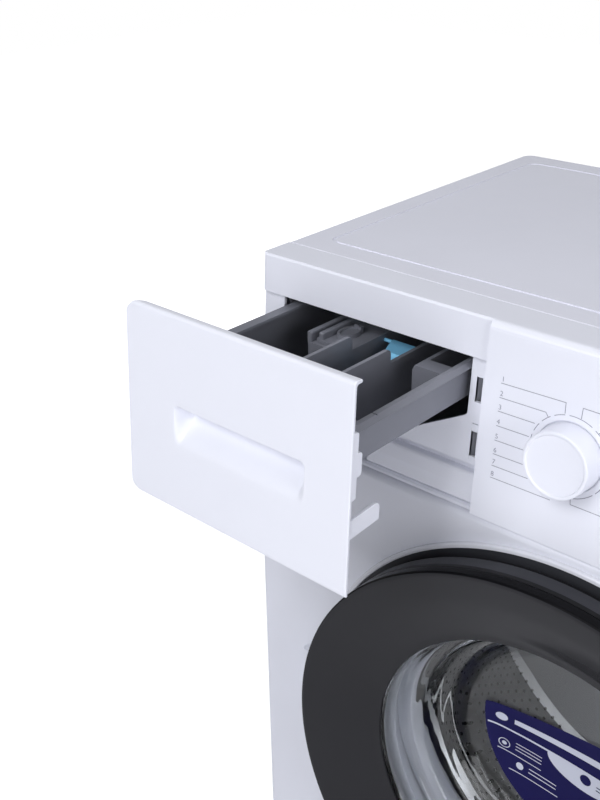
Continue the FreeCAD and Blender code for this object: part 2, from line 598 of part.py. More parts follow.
# ---------------------------------------------------------------- drawer
def drawer_front():
    """Plate with rolled top edge, scooped grip, clip tab and guide lug."""
    top_up = (DRAWER_TOP - SEAM) / math.cos(LEAN)
    plate = Part.makeBox(DRAWER_RIGHT - DRAWER_LEFT, PLATE, top_up - DRAWER_LOW,
                         V(DRAWER_LEFT, 0, DRAWER_LOW))
    plate = rounded(plate, DRAWER_CORNER, lambda e: along(e,
                                                          V(0, 1, 0)) and e.CenterOfMass.x < DRAWER_LEFT + 1)
    roll = [(0.0, top_up - 5.0)] + arc(2.9, top_up - 2.9, 2.9, 180, 90, 4) + [(BEAD - 1.3, top_up - 0.1)]
    roll += arc(BEAD - 1.2, top_up - 1.3, 1.2, 75, -90, 4)
    roll += [(3.2, top_up - 2.6), (PLATE, top_up - 5.5)]
    wire = Part.makePolygon([V(DRAWER_LEFT + DRAWER_CORNER, y, z) for y, z in roll + roll[:1]])
    lip = Part.Face(wire).extrude(V(DRAWER_RIGHT - DRAWER_LEFT - DRAWER_CORNER, 0, 0))
    corner = Part.makeBox(400, 20, 8, V(DRAWER_LEFT + DRAWER_CORNER, -5, top_up - 3.1))
    trimmed = plate.cut(corner)
    tab = Part.makeBox(2.0, 5.6, 47.0, V(LUG_X - 1.0, PLATE - 0.4, 68.0))
    nose = Part.makeBox(2.0, 12.0, 17.0, V(LUG_X - 1.0, PLATE - 0.4, 82.5))
    nose = rounded(nose, 3.0, lambda e: along(e, V(1, 0, 0)) and e.CenterOfMass.y > 10)
    lug = Part.makeBox(2.6, 33.0, 19.0, V(LUG_X - 1.3, PLATE - 0.4, 39.0))
    lug = rounded(lug, 5.0, lambda e: along(e, V(1, 0,
                                                 0)) and e.CenterOfMass.y > 20 and e.CenterOfMass.z > 50)
    cup = scoop(GRIP_X0 - 2.0, GRIP_X1 + 2.0, 20.0, GRIP_UP1 - GRIP_UP0 + 2.0, GRIP_UP1 + 2.0)
    hollow = scoop(GRIP_X0, GRIP_X1, 18.0, GRIP_UP1 - GRIP_UP0, GRIP_UP1)
    ribs = [Part.makeBox(1.8, 3.4, 30.0, V(x, PLATE - 0.2, 84.0)) for x in (-262.0, -120.0)]
    whole = join([trimmed, lip, tab, nose, lug, cup] + ribs).cut(hollow)
    whole = on_face(whole, 0, 0)
    whole.translate(V(0, -DRAWER_OUT, 0))
    return whole


def scoop(x0, x1, depth, height, top):
    """Quarter-ellipse trough, flat on top, drawn for on_face."""
    points = []
    for i in range(9):
        t = math.radians(90.0 * i / 8)
        points.append((depth * math.cos(t), top - height * math.sin(t)))
    points += [(0.0, top - height), (0.0, top)]
    wire = Part.makePolygon([V(x0, y, z) for y, z in [(-0.01, top), (depth, top)] + points[1:9]
                             + [(-0.01, top - height), (-0.01, top)]])
    return Part.Face(wire).extrude(V(x1 - x0, 0, 0))


def tray_outline(grow):
    """(x, z) outline of the tray: shallow to the right, deep to the left."""
    return [(TRAY_LEFT - grow, TRAY_TOP), (TRAY_RIGHT + grow, TRAY_TOP),
            (TRAY_RIGHT + grow, SEAM + 81.0 - grow),
            (TRAY_RIGHT - 7.0 + grow, SEAM + 76.0 - grow * 1.2), (-208.0 + grow, SEAM + 31.0 - grow * 1.2),
            (-212.0 + grow, SEAM + 14.0 - grow), (TRAY_LEFT + 6 - grow, SEAM + 14.0 - grow),
            (TRAY_LEFT - grow, SEAM + 20.0)]


def detergent_tray():
    """Three-compartment tray with flanged edges, cheeks, siphon well and insert step."""
    out = prism_y(tray_outline(0.0), -135.0, TRAY_BACK)
    y0 = TRAY_FRONT + TRAY_WALL
    y1 = TRAY_BACK - TRAY_WALL
    w = TRAY_WALL
    main = [(TRAY_LEFT + w, SEAM + 126.0), (DIV1 - 1.5, SEAM + 126.0), (DIV1 - 1.5, SEAM + 38.0),
            (-209.0 - w, SEAM + 32.0), (-213.0 - w, SEAM + 16.0),
            (TRAY_LEFT + 8, SEAM + 16.0), (TRAY_LEFT + w, SEAM + 22.0)]
    middle = [(DIV1 + 1.5, SEAM + 126.0), (DIV2 - 1.5, SEAM + 126.0), (DIV2 - 1.5, SEAM + 57.0),
              (DIV1 + 1.5, SEAM + 40.0)]
    right = [(DIV2 + 1.5, SEAM + 126.0), (TRAY_RIGHT - w, SEAM + 126.0), (TRAY_RIGHT - w, SEAM + 83.0),
             (TRAY_RIGHT - 9.0, SEAM + 79.0),
             (DIV2 + 1.5, SEAM + 58.5)]
    tools = [prism_y(main, y0, y1), prism_y(middle, y0, y1), prism_y(right, y0, y1)]
    front_gap = [(TRAY_LEFT + w, SEAM + 126.0), (TRAY_RIGHT - w, SEAM + 126.0),
                 (TRAY_RIGHT - w, SEAM + 83.0), (-206.0, SEAM - 4.0),
                 (TRAY_LEFT + w, SEAM - 4.0)]
    tools.append(prism_y(front_gap, -140.0, TRAY_FRONT))
    low = prism_x([(-140.0, SEAM - 14.0), (TRAY_FRONT, SEAM - 14.0), (TRAY_FRONT, SEAM + 72.0),
                   (-140.0, SEAM + 72.0)], TRAY_LEFT - 5,
                  TRAY_RIGHT - 6)
    tools.append(low)
    notch = box(TRAY_LEFT + 20, DIV2 + 20, y0 - 4, y0 + 0.1, SEAM + 102.0, SEAM + 136.0)
    tools.append(notch.cut(box(DIV1 - 4, DIV1 + 4, y0 - 5, y0 + 1, SEAM - 4.0, SEAM + 136.0)))
    tray = out.cut(tools)
    flange_r = prism_y([(TRAY_RIGHT - 3.4, TRAY_TOP - 2.4), (TRAY_RIGHT - 3.4, TRAY_TOP - 0.4),
                        (TRAY_RIGHT - 2.6, TRAY_TOP),
                        (TRAY_RIGHT + 0.6, TRAY_TOP), (TRAY_RIGHT + 3.8, TRAY_TOP - 3.4),
                        (TRAY_RIGHT + 2.8, TRAY_TOP - 4.4),
                        (TRAY_RIGHT, TRAY_TOP - 2.8)], -130, TRAY_BACK)
    flange_l = box(TRAY_LEFT, TRAY_LEFT + 9.0, -130, TRAY_BACK, TRAY_TOP - 2, TRAY_TOP)
    step_in = box(-134.0, TRAY_RIGHT - 9.0, 12.0, TRAY_BACK - 8, SEAM + 81.0, SEAM + 116.0)
    slope = prism_y([(-139.0, SEAM + 98.0), (-137.0, SEAM + 102.0), (TRAY_RIGHT - 1, SEAM + 102.0),
                     (TRAY_RIGHT - 1, SEAM + 80.0),
                     (-139.0, SEAM + 66.3)], -2.0, TRAY_BACK - 1)
    ledges = [box(DIV1 - 36.0, DIV1, -4.0, TRAY_BACK - 1, SEAM + 92.0, SEAM + 94.0),
              box(DIV1 - 38.0, DIV1 - 36.0, -6.0, TRAY_BACK - 1, SEAM + 18.0, SEAM + 102.5),
              box(DIV1 - 38.0, DIV1, -6.0, -4.0, SEAM + 24.0, SEAM + 94.0)]
    ledges = [part.common(out) for part in ledges]
    crest = box(DIV1 - 39.4, DIV1 - 35.0, -6.0, TRAY_BACK - 1, SEAM + 93.0, SEAM + 102.5)
    ledges.append(rounded(crest, 1.6, lambda e: e.CenterOfMass.z > SEAM + 102.4
                          or e.CenterOfMass.y < FRONT - 5.9
                          and e.CenterOfMass.z > SEAM + 94.0))
    tray = join([tray, flange_r, flange_l, slope] + ledges).cut(step_in)
    tools = [box(TRAY_RIGHT - 12.0, TRAY_RIGHT + 5, -87.0, -86.2, TRAY_TOP - 0.8, TRAY_TOP + 1)]
    tools.append(box(DIV1 - 38.5, DIV1 - 0.5, 60.0, 64.0, SEAM + 86.0, SEAM + 95.0))
    tools.append(box(DIV1 + 1.0, DIV2 - 1.0, TRAY_BACK - 3, TRAY_BACK + 1, SEAM + 48.0, SEAM + 66.0))
    tools.append(post(5.2, SEAM + 86.0, SEAM + 96.0, CAP_X, CAP_Y))
    lean_cut = prism_x([(-160.0, SEAM - 14.0), (face_y(SEAM - 14.0, PLATE + GAP) - DRAWER_OUT, SEAM - 14.0),
                        (face_y(SEAM + 126.0, PLATE + GAP) - DRAWER_OUT, SEAM + 126.0),
                        (-160.0, SEAM + 126.0)], -300, -80)
    tools.append(lean_cut)
    pin = bar(FLAP_PIN_R + RUN, (DIV1 - 1.0, FRONT + FLAP_PIN_Y, FLAP_PIN_Z),
              (DIV2 + 1.0, FRONT + FLAP_PIN_Y, FLAP_PIN_Z))
    tools.append(pin)
    short = [(-5.0, TRAY_TOP + 3), (-5.0, TRAY_TOP), (-3.2, TRAY_TOP - 0.6), (-1.9, TRAY_TOP - 2.0),
             (-1.4, TRAY_TOP - 4.0), (-1.4, SEAM + 97.0), (TRAY_BACK - 3, SEAM + 97.0),
             (TRAY_BACK - 3, TRAY_TOP + 3)]
    tools += [prism_x(short, x - 2.0, x + 2.0) for x in (DIV1, DIV2)]
    return cut(tray, tools)


def siphon_cap():
    """Lift-out siphon cap: cover plate, oval raised rim, stem and pull tab."""
    plate = box(DIV1 - 33.5, DIV1 - 1.9, -3.0, 58.0, SEAM + 94.3, SEAM + 96.6)
    plate = rounded(plate, 3.0, lambda e: along(e, V(0, 0, 1)))
    oval = Part.makeCylinder(1.0, 4.0, V(0, 0, 0))
    m = FreeCAD.Matrix()
    m.scale(V(7.4, 11.4, 1.0))
    ring = oval.transformGeometry(m)
    m2 = FreeCAD.Matrix()
    m2.scale(V(5.6, 9.2, 1.0))
    dish = oval.transformGeometry(m2)
    ring.translate(V(CAP_X, FRONT + CAP_Y, SEAM + 96.0))
    dish.translate(V(CAP_X, FRONT + CAP_Y, SEAM + 98.4))
    rib = box(DIV1 - 31.1, DIV1 - 26.7, -2.0, 57.0, SEAM + 96.0, SEAM + 102.5)
    rib = rounded(rib, 1.6, lambda e: e.CenterOfMass.z > SEAM + 102.4 or e.CenterOfMass.y < FRONT - 1.9
                  and e.CenterOfMass.z > SEAM + 97.0)
    stem = post(5.0, SEAM + 39.0, SEAM + 95.0, CAP_X, CAP_Y).cut(post(3.4, SEAM + 38.0, SEAM + 93.0, CAP_X,
                                                                      CAP_Y))
    tab = box(CAP_X - 2.0, CAP_X + 6.0, CAP_Y + 7.0, CAP_Y + 9.6, SEAM + 96.0, SEAM + 102.0)
    return join([plate, ring, rib, stem, tab]).cut(dish)


def liquid_flap():
    """Blue flap for liquid detergent, swinging on two pins between the dividers."""
    y, z = FLAP_PIN_Y, FLAP_PIN_Z
    blade = prism_x([(y - 24.0, z + 1.0), (y - 22.0, z + 3.2), (y, z + 2.2), (y + 1.5, z), (y, z - 1.8),
                     (y - 20, z)],
                    DIV1 + 9.5, DIV2 - 3.4)
    corner = prism_z([(DIV1, 5.0), (DIV1 + 18.0, 5.0), (DIV1 + 18.0, y - 22.0), (DIV1 + 9.3, y - 2.5),
                      (DIV1, y - 2.5)],
                     z - 20, z + 20)
    blade = blade.cut(corner)
    pins = bar(FLAP_PIN_R, (DIV1 - 0.6, FRONT + y, z), (DIV2 + 0.6, FRONT + y, z))
    lip = prism_x([(y - 24.0, z + 1.0), (y - 22.5, z + 1.0), (y - 26.0, z - 12.0), (y - 27.5, z - 12.0)],
                  DIV1 + 18.0, DIV2 - 3.4)
    return join([blade, pins, lip])


def dispenser_housing():
    """Box that the tray runs in: runners, spray roof ribs, inlet nozzle and outlet spout."""
    outer = prism_y([(-281, SEAM - 1.0), (-135, SEAM - 1.0), (-97, SEAM + 26.0), (-97, SEAM + 117.0),
                     (-281, SEAM + 117.0)], 25, 264)
    inner = prism_y([(-279, SEAM + 1.0), (-135.8, SEAM + 1.0), (-99, SEAM + 27.0), (-99, SEAM + 115.0),
                     (-279, SEAM + 115.0)], 20, 262)
    runners = [box(x, x + 5.0, 25, 262, SEAM, SEAM + 14.0 - GAP) for x in (-262.0, -226.0)]
    rail = box(-103.5, -98, 25, 262, SEAM + 76.0, SEAM + 80.0)
    ribs = [box(-281, -97, y, y + 2.0, SEAM + 116.0, SEAM + 119.0) for y in (70.0, 120.0, 170.0, 220.0)]
    tabs = [box(x, x + 30.0, 262, RAIL_Y - GAP, SEAM + 86.0, SEAM + 106.0) for x in (-275.0, -135.0)]
    nozzle = rod(8.0, 262, 278, VALVE_X, SEAM + 96.0)
    spout = post(20.0, SEAM - 20.0, SEAM, SPOUT_X, SPOUT_Y)
    tools = [rod(6.0, 255, 285, VALVE_X, SEAM + 96.0), post(17.0, SEAM - 24.0, SEAM + 4.0, SPOUT_X, SPOUT_Y),
             box(-285, -90, 20, TOP_START, SEAM - 4.0, SEAM + 3.3)]
    return cut(join([outer.cut(inner), rail] + runners + ribs + tabs + [nozzle, spout]), tools)


# ---------------------------------------------------------------- water
def inlet_valve():
    """Solenoid valve: threaded inlet through the back panel, coil, outlet nozzle."""
    inlet = tube(13.2, 10.0, DEPTH - 8, DEPTH + 14, VALVE_X, VALVE_Z)
    flange = box(VALVE_X - 20, VALVE_X + 20, DEPTH - SHEET - GAP - 5, DEPTH - SHEET - GAP, VALVE_Z - 17,
                 VALVE_Z + 17)
    body = rod(15.0, DEPTH - 36, DEPTH - 5, VALVE_X, VALVE_Z)
    coil = post(14.0, VALVE_Z - 46, VALVE_Z - 10, VALVE_X, DEPTH - 24)
    lug = box(VALVE_X - 3.5, VALVE_X + 3.5, DEPTH - 46, DEPTH - 30, VALVE_Z - 44, VALVE_Z - 36)
    elbow = post(9.0, VALVE_Z, SEAM + 96.0, VALVE_X, DEPTH - 28)
    outlet = rod(8.0, DEPTH - 60, DEPTH - 28, VALVE_X, SEAM + 96.0)
    shape = join([inlet, flange, body, coil, lug, elbow, outlet])
    tools = [rod(10.0, DEPTH - 22, DEPTH + 20, VALVE_X, VALVE_Z),
             rod(6.0, DEPTH - 65, DEPTH - 30, VALVE_X, SEAM + 96.0)]
    return cut(shape, tools)


def fill_hose():
    """Short hose between the valve outlet and the dispenser nozzle, with two clips."""
    hose = tube(10.6, 8.3, 268.0, DEPTH - 48, VALVE_X, SEAM + 96.0)
    clips = [tube(12.4, 10.4, y, y + 6, VALVE_X, SEAM + 96.0) for y in (271.0, DEPTH - 57)]
    return join([hose] + clips)


def dispenser_hose():
    """Ribbed hose from the dispenser spout down to the tub inlet."""
    outline = [(20.3, 668.4), (20.3, 697.0), (22.6, 697.0), (22.6, 690.0)]
    z = 684.0
    for i in range(3):
        outline += [(22.6, z), (26.0, z - 3.0), (22.6, z - 6.0)]
        z -= 7.0
    outline += [(22.6, 646.0), (20.3, 646.0)]
    wire = Part.makePolygon([V(SPOUT_X + r, FRONT + SPOUT_Y, z) for r, z in outline + outline[:1]])
    return Part.Face(wire).revolve(V(SPOUT_X, FRONT + SPOUT_Y, 0), V(0, 0, 1), 360)


def pressure_switch():
    """Water level switch on the right side, disc with air nozzle and terminals."""
    x = HALF - SHEET - GAP
    disc = Part.makeCylinder(24.0, 18.0, V(x, FRONT + 150, 740), V(-1, 0, 0))
    cap = Part.makeCylinder(15.0, 6.0, V(x - 18.0, FRONT + 150, 740), V(-1, 0, 0))
    nozzle = post(3.0, 700, 720, x - 10.0, 150)
    pins = [box(x - 32.0, x - 23.0, 150 + d, 150 + d + 0.8, 742, 748) for d in (-6.0, 0.0, 6.0)]
    return join([disc, cap, nozzle] + pins)


# ---------------------------------------------------------------- tub
def tub_front():
    """Front half of the tub: gasket neck, ribbed face, shell and bolting flange."""
    r, w = TUB_R, TUB_WALL
    line = [(168.0, 50.0), (168.0, TUB_START + 1), (185.0, TUB_START + 4), (235.0, TUB_START + 8),
            (r - w / 2, 84.0),
            (r - w / 2, TUB_SPLIT - 2)]
    shell = turned(skin(line, w))
    bead = turned([(166.5, 50.0), (172.0, 50.0), (172.0, 54.0), (166.5, 54.0)])
    flange = turned([(r - w, TUB_SPLIT - 6), (r + 9, TUB_SPLIT - 6), (r + 9, TUB_SPLIT - GAP / 2),
                     (r - w, TUB_SPLIT - GAP / 2)])
    ribs = []
    for i in range(12):
        rib = box(-1.5, 1.5, TUB_START + 1, 90, DOOR_Z + 176, DOOR_Z + r - 2)
        rib = rib.cut(box(-5, 5, TUB_START + 9.5, 100, DOOR_Z + 160, DOOR_Z + r - 16))
        rib.rotate(V(0, 0, DOOR_Z), V(0, 1, 0), 15 + 30 * i)
        ribs.append(rib.cut(rod(234.0, TUB_START + 8, 100, 0, DOOR_Z)))
    return join([shell, bead, flange] + ribs)


def tub_rear():
    """Rear half of the tub: shell, ribbed back, bearing hub, lugs, necks and heater window."""
    r, w = TUB_R, TUB_WALL
    line = [(r - w / 2, TUB_SPLIT + 2), (r - w / 2, TUB_END - 4), (r - 8, TUB_END), (38.0, TUB_END)]
    shell = turned(skin(line, w))
    flange = turned([(r - w, TUB_SPLIT + GAP / 2), (r + 9, TUB_SPLIT + GAP / 2), (r + 9, TUB_SPLIT + 6),
                     (r - w, TUB_SPLIT + 6)])
    hub = tube(40.0, BEARING_R + 0.02, TUB_END - 3, TUB_END + 38, 0, DOOR_Z)
    ribs = []
    for i in range(8):
        rib = box(-1.75, 1.75, TUB_END, TUB_END + 16, DOOR_Z + 38, DOOR_Z + r - 8)
        trim = prism_x([(TUB_END + 16.5, DOOR_Z + 90), (TUB_END + 16.5, DOOR_Z + r),
                        (TUB_END + 3, DOOR_Z + r)], -5, 5)
        rib = rib.cut(trim)
        rib.rotate(V(0, 0, DOOR_Z), V(0, 1, 0), 22.5 + 45 * i)
        ribs.append(rib)
    lugs = []
    for side in (-1, 1):
        x = side * (SPRING_X - 6.0)
        lug = box(x - 14, x + 14, RAIL_Y + 12, RAIL_Y + 18, 600.0, SPRING_LOW)
        lugs.append(lug.cut(rod(r - 1.0, 250, 320, 0, DOOR_Z)))
        dx, dz = DAMPER_HIGH
        for dy in (-14.0, 10.0):
            ear = box(side * dx - 13, side * dx + 13, DAMPER_Y + dy, DAMPER_Y + dy + 4, dz - 9, dz + 40)
            lugs.append(ear.cut(rod(r - 1.0, 200, 260, 0, DOOR_Z)))
    hanger = []
    for mx in (MOTOR_X - 34, MOTOR_X + 34):
        ear = box(mx - 7, mx + 7, MOTOR_Y + 14, MOTOR_Y + 26, MOTOR_Z + 47, 262)
        hanger.append(ear.cut(rod(r - 1.0, 200, 260, 0, DOOR_Z)))
    neck = post(20.0, 600.0, 664.0, SPOUT_X, SPOUT_Y).cut(rod(r - 1.0, 190, 260, 0, DOOR_Z))
    seat = box(-50, 50, TUB_END - 1, TUB_END + 3, DOOR_Z - 246, DOOR_Z - 220)
    sump = post(19.0, 196.0, 240.0, SUMP_X, SUMP_Y).cut(rod(r - 1.0, 180, 260, 0, DOOR_Z))
    block_seats = []
    for x, y in BLOCK_BOLTS:
        seat_z = max(BLOCK_LOW, DOOR_Z + math.sqrt((r + 10.5) ** 2 - (abs(x) + 9) ** 2)) - GAP
        boss = post(9.0, 690.0, seat_z, x, y).cut(rod(r - 1.0, 120, 300, 0, DOOR_Z))
        block_seats.append(boss)
    shape = join([shell, flange, hub] + ribs + lugs + hanger + [neck, seat, sump] + block_seats)
    tools = [post(17.0, 560.0, 670.0, SPOUT_X, SPOUT_Y), post(16.5, 190.0, 245.0, SUMP_X, SUMP_Y)]
    tools.append(box(-34, 34, TUB_END - 6, TUB_END + 4, DOOR_Z - 244.5, DOOR_Z - 229))
    for side in (-1, 1):
        tools.append(rod(4.1, 200, 260, side * DAMPER_HIGH[0], DAMPER_HIGH[1]))
        tools.append(rod(4.4, 260, 310, side * (SPRING_X - 6.0), SPRING_LOW - 8))
    for mx in (MOTOR_X - 34, MOTOR_X + 34):
        tools.append(rod(3.1, MOTOR_Y + 5, MOTOR_Y + 35, mx, MOTOR_Z + 62))
    for x, y in BLOCK_BOLTS:
        tools.append(post(2.9, 700.0, 760.0, x, y))
    return cut(shape, tools)


def top_counterweight():
    """Concrete block on top of the tub with its four bolts."""
    block = box(-78, 150, 96, 262, BLOCK_LOW, 784)
    block = rounded(block, 8.0, lambda e: along(e, V(0, 0, 1)))
    tools = [rod(TUB_R + 10.5, 90, 270, 0, DOOR_Z), box(10, 40, 90, 150, 770, 790)]
    tools += [post(11.0, 764, 790, x, y) for x, y in BLOCK_BOLTS]
    return join([cut(block, tools)] + block_bolts())


def block_bolts():
    """Hexagon bolts with washers that hold the counterweight."""
    out = []
    for x, y in BLOCK_BOLTS:
        head = prism_z([(x + a, y + b) for a, b in arc(0, 0, 7.2, 0, 300, 5)], 765.9, 771)
        out += [post(9.0, 763.0, 766.0, x, y), head, post(2.8, 712.0, 764.0, x, y)]
    return out


def suspension_springs():
    """Coil springs from the pegs of the cross rail down to the tub lugs, ringed at both ends."""
    out = []
    wire, radius, eye = 2.0, 11.0, 6.0
    for side in (-1, 1):
        x, y = side * (SPRING_X - 6.0), FRONT + RAIL_Y + 15
        top = SPRING_HIGH + 3.0 + GAP - (eye - wire)
        low = SPRING_LOW - 8 + 3.4 - wire - GAP + 8.0
        start = low + 20.0
        end = top - 16.0
        links = [
            Part.makeTorus(eye, wire, V(x, y, top), V(0, 1, 0)),
            Part.makeTorus(8.0, wire, V(x, y, low), V(1, 0, 0)),
            bar(wire, (x, y, end - 2), (x, y, top - eye)),
            bar(wire, (x, y, low + 8.0), (x, y, start + 2)),
            bar(wire * 0.9, (x - 1.8, y, end), (x + radius + 1.4, y, end)),
            bar(wire * 0.9, (x - 1.8, y, start), (x + radius + 1.4, y, start)),
        ]
        out.append(join([coil(x, y, start, end, radius, wire, 7)] + links))
    return Part.makeCompound(out)


def coil(x, y, z0, z1, radius, wire, turns, around=12, sides=6):
    """Faceted coil: a hexagon of wire carried round a helix, closed at both ends."""
    rings = []
    count = turns * around
    for i in range(count + 1):
        t = 2 * math.pi * i / around
        z = z0 + (z1 - z0) * i / count
        ring = []
        for k in range(sides):
            a = 2 * math.pi * k / sides
            r = radius + wire * math.cos(a)
            ring.append(V(x + r * math.cos(t), y + r * math.sin(t), z + wire * math.sin(a)))
        rings.append(ring)
    faces = []
    for first, second in zip(rings, rings[1:]):
        for k in range(sides):
            n = (k + 1) % sides
            faces.append(triangle(first[k], first[n], second[n]))
            faces.append(triangle(first[k], second[n], second[k]))
    for ring in (rings[0], rings[-1]):
        faces.append(Part.Face(Part.makePolygon(ring + ring[:1])))
    return Part.makeSolid(Part.makeShell(faces))


def triangle(a, b, c):
    return Part.Face(Part.makePolygon([a, b, c, a]))


def damper_tubes():
    """Damper cylinders with lower eyes, pinned to the floor pan brackets."""
    out = []
    for side in (-1, 1):
        low, high, axis = damper_line(side)
        eye = rod(9.0, DAMPER_Y - 9.5, DAMPER_Y + 9.5, side * DAMPER_LOW[0], DAMPER_LOW[1])
        neck = Part.makeCylinder(7.0, 16.0, low + axis * 3, axis)
        barrel = Part.makeCylinder(15.0, 102.0, low + axis * 16, axis)
        bore = Part.makeCylinder(12.5, 112.0, low + axis * 22, axis)
        pin = rod(4.0, DAMPER_Y - 17, DAMPER_Y + 17, side * DAMPER_LOW[0], DAMPER_LOW[1])
        out.append(join([eye, neck, barrel, pin]).cut(bore))
    return Part.makeCompound(out)


def damper_line(side):
    low = V(side * DAMPER_LOW[0], FRONT + DAMPER_Y, DAMPER_LOW[1])
    high = V(side * DAMPER_HIGH[0], FRONT + DAMPER_Y, DAMPER_HIGH[1])
    return low, high, (high - low).normalize()


def damper_rods():
    """Damper rods with piston pads and upper eyes, pinned to the tub lugs."""
    out = []
    for side in (-1, 1):
        low, high, axis = damper_line(side)
        length = (high - low).Length
        shank = Part.makeCylinder(7.0, length - 50.0, low + axis * 44, axis)
        piston = Part.makeCylinder(12.5 - GAP, 26.0, low + axis * 36, axis)
        eye = rod(9.0, DAMPER_Y - 9.5, DAMPER_Y + 9.5, side * DAMPER_HIGH[0], DAMPER_HIGH[1])
        pin = rod(4.0, DAMPER_Y - 17, DAMPER_Y + 17, side * DAMPER_HIGH[0], DAMPER_HIGH[1])
        out.append(join([shank, piston, eye, pin]))
    return Part.makeCompound(out)


def door_gasket():
    """Rubber bellows from the steel door hole to the tub neck, with a lip on the glass."""
    line = [(177.0, 5.0), (176.6, 12.4), (170.0, 12.8), (166.0, 8.6), (161.5, 9.5), (159.0, 17.0),
            (163.5, 26.0),
            (173.0, 29.0), (176.0, 36.0), (170.0, 42.0), (162.0, 44.5), (162.0, 58.0)]
    body = turned(skin(line, 2.6))
    inner = HOLE_R + SHEET + 0.5 + GAP
    bead = turned([(inner, 2.0), (HOLE_R + 7, 2.0), (HOLE_R + 7, 9.0), (inner, 9.0)])
    lip = turned([(163.0, 6.0), (148.7, 5.2), (148.1, 7.2), (161.5, 9.6)])
    tail = turned([(160.7, 44.0), (175.0, 44.0), (175.0, 47.4), (166.0, 47.4), (166.0, 58.0), (160.7, 58.0)])
    return join([body, bead, lip, tail])


# ---------------------------------------------------------------- drum and drive
def wash_drum():
    """Perforated drum with rolled mouth, waist groove and flanged back."""
    r, t = DRUM_R, DRUM_SHEET
    line = [(160.0, 74.0), (158.5, 70.5), (160.5, 67.5), (164.0, 68.5), (180.0, 76.0),
            (r - 6, DRUM_START + 1),
            (r, DRUM_START + 6), (r, 150.0), (r - 2.5, 153.0), (r - 2.5, 158.0), (r, 161.0),
            (r, DRUM_END - 8),
            (r - 8, DRUM_END - 1), (r - 40, DRUM_END), (0.0, DRUM_END)]
    outline = skin(line, t)
    outline = [(max(a, 0.0), b) for a, b in outline]
    drum = turned(outline)
    holes = []
    for row in range(4):
        y = 105.0 + 26.0 * row + (26.0 if row > 1 else 0.0)
        for i in range(15):
            angle = 24.0 * i + 12.0 * (row % 2)
            hole = Part.makeCylinder(2.6, 20.0, V(0, FRONT + y, DOOR_Z + r - 10), V(0, 0, 1))
            hole.rotate(V(0, 0, DOOR_Z), V(0, 1, 0), angle)
            holes.append(hole)
    return drum.cut(holes)


def drum_lifters():
    """Three ridges along the drum wall with drip holes."""
    return Part.makeCompound([drum_lifter(i) for i in range(3)])


def drum_lifter(i):
    base = DOOR_Z + DRUM_R - 1.6
    outline = [(-34.0, base - 4.0), (-17.0, base - 9.0), (-10.0, base - 38.0), (0.0, base - 43.0),
               (10.0, base - 38.0), (17.0, base - 9.0), (34.0, base - 4.0), (34.0, base + 5.0),
               (-34.0, base + 5.0)]
    ridge = prism_y(outline, 96.0, 270.0)
    ridge = ridge.common(rod(DRUM_R - DRUM_SHEET / 2 - GAP, 90.0, 280.0, 0, DOOR_Z))
    waist = DRUM_R - 3.0 - GAP
    ridge = ridge.cut(tube(DRUM_R + 5, waist, 149.6, 161.4, 0, DOOR_Z))
    ridge = ridge.cut([prism_x([(90.0, base - 60), (98.0, base - 45), (92.0, base - 9), (90.0, base)], -40,
                               40),
                       prism_x([(276.0, base - 60), (262.0, base - 44), (272.0, base - 9), (276.0, base)],
                               -40, 40)])
    holes = [Part.makeCylinder(2.4, 60.0, V(-30, FRONT + y, base - 26.0), V(1, 0, 0)) for y in (130.0,
                                                                                                180.0, 230.0)]
    ridge = ridge.cut(holes)
    ridge.rotate(V(0, 0, DOOR_Z), V(0, 1, 0), 120.0 * i + 40.0)
    return ridge


def drum_spider():
    """Cast three-armed cross on the drum back with the drive shaft pressed in."""
    y0 = DRUM_END + DRUM_SHEET / 2 + GAP
    hub = rod(30.0, y0, y0 + 17.0, 0, DOOR_Z)
    arms = []
    for i in range(3):
        arm = prism_y([(-15.0, DOOR_Z + 18), (-9.0, DOOR_Z + 214), (9.0, DOOR_Z + 214), (15.0, DOOR_Z + 18)],
                      y0, y0 + 4.0)
        web = prism_x([(y0 + 3, DOOR_Z + 20), (y0 + 15.5, DOOR_Z + 26), (y0 + 8, DOOR_Z + 190),
                       (y0 + 3, DOOR_Z + 206)],
                      -3.0, 3.0)
        foot = rod(15.0, y0, y0 + 7.0, 0, DOOR_Z + 204)
        limb = arm.fuse([web, foot])
        limb.rotate(V(0, 0, DOOR_Z), V(0, 1, 0), 120.0 * i)
        arms.append(limb)
    shaft = rod(SHAFT_R, y0 + 10, PULLEY_Y - 10, 0, DOOR_Z)
    tail = rod(9.0, PULLEY_Y - 11, PULLEY_Y + 10, 0, DOOR_Z)
    return join([hub] + arms + [shaft, tail])


def shaft_bearings():
    """Two ball bearings in the tub hub: outer races, shields and inner races as sealed rings."""
    out = []
    for y0, y1 in ((TUB_END + 6, TUB_END + 19), (TUB_END + 24, TUB_END + 36)):
        ring = turned([(SHAFT_R + RUN, y0), (SHAFT_R + 3.4, y0), (SHAFT_R + 3.9, y0 + 0.8),
                       (BEARING_R - 3.6, y0 + 0.8),
                       (BEARING_R - 3.1, y0), (BEARING_R, y0), (BEARING_R, y1), (BEARING_R - 3.1, y1),
                       (BEARING_R - 3.6, y1 - 0.8), (SHAFT_R + 3.9, y1 - 0.8), (SHAFT_R + 3.4, y1),
                       (SHAFT_R + RUN, y1)])
        out.append(ring)
    return Part.makeCompound(out)


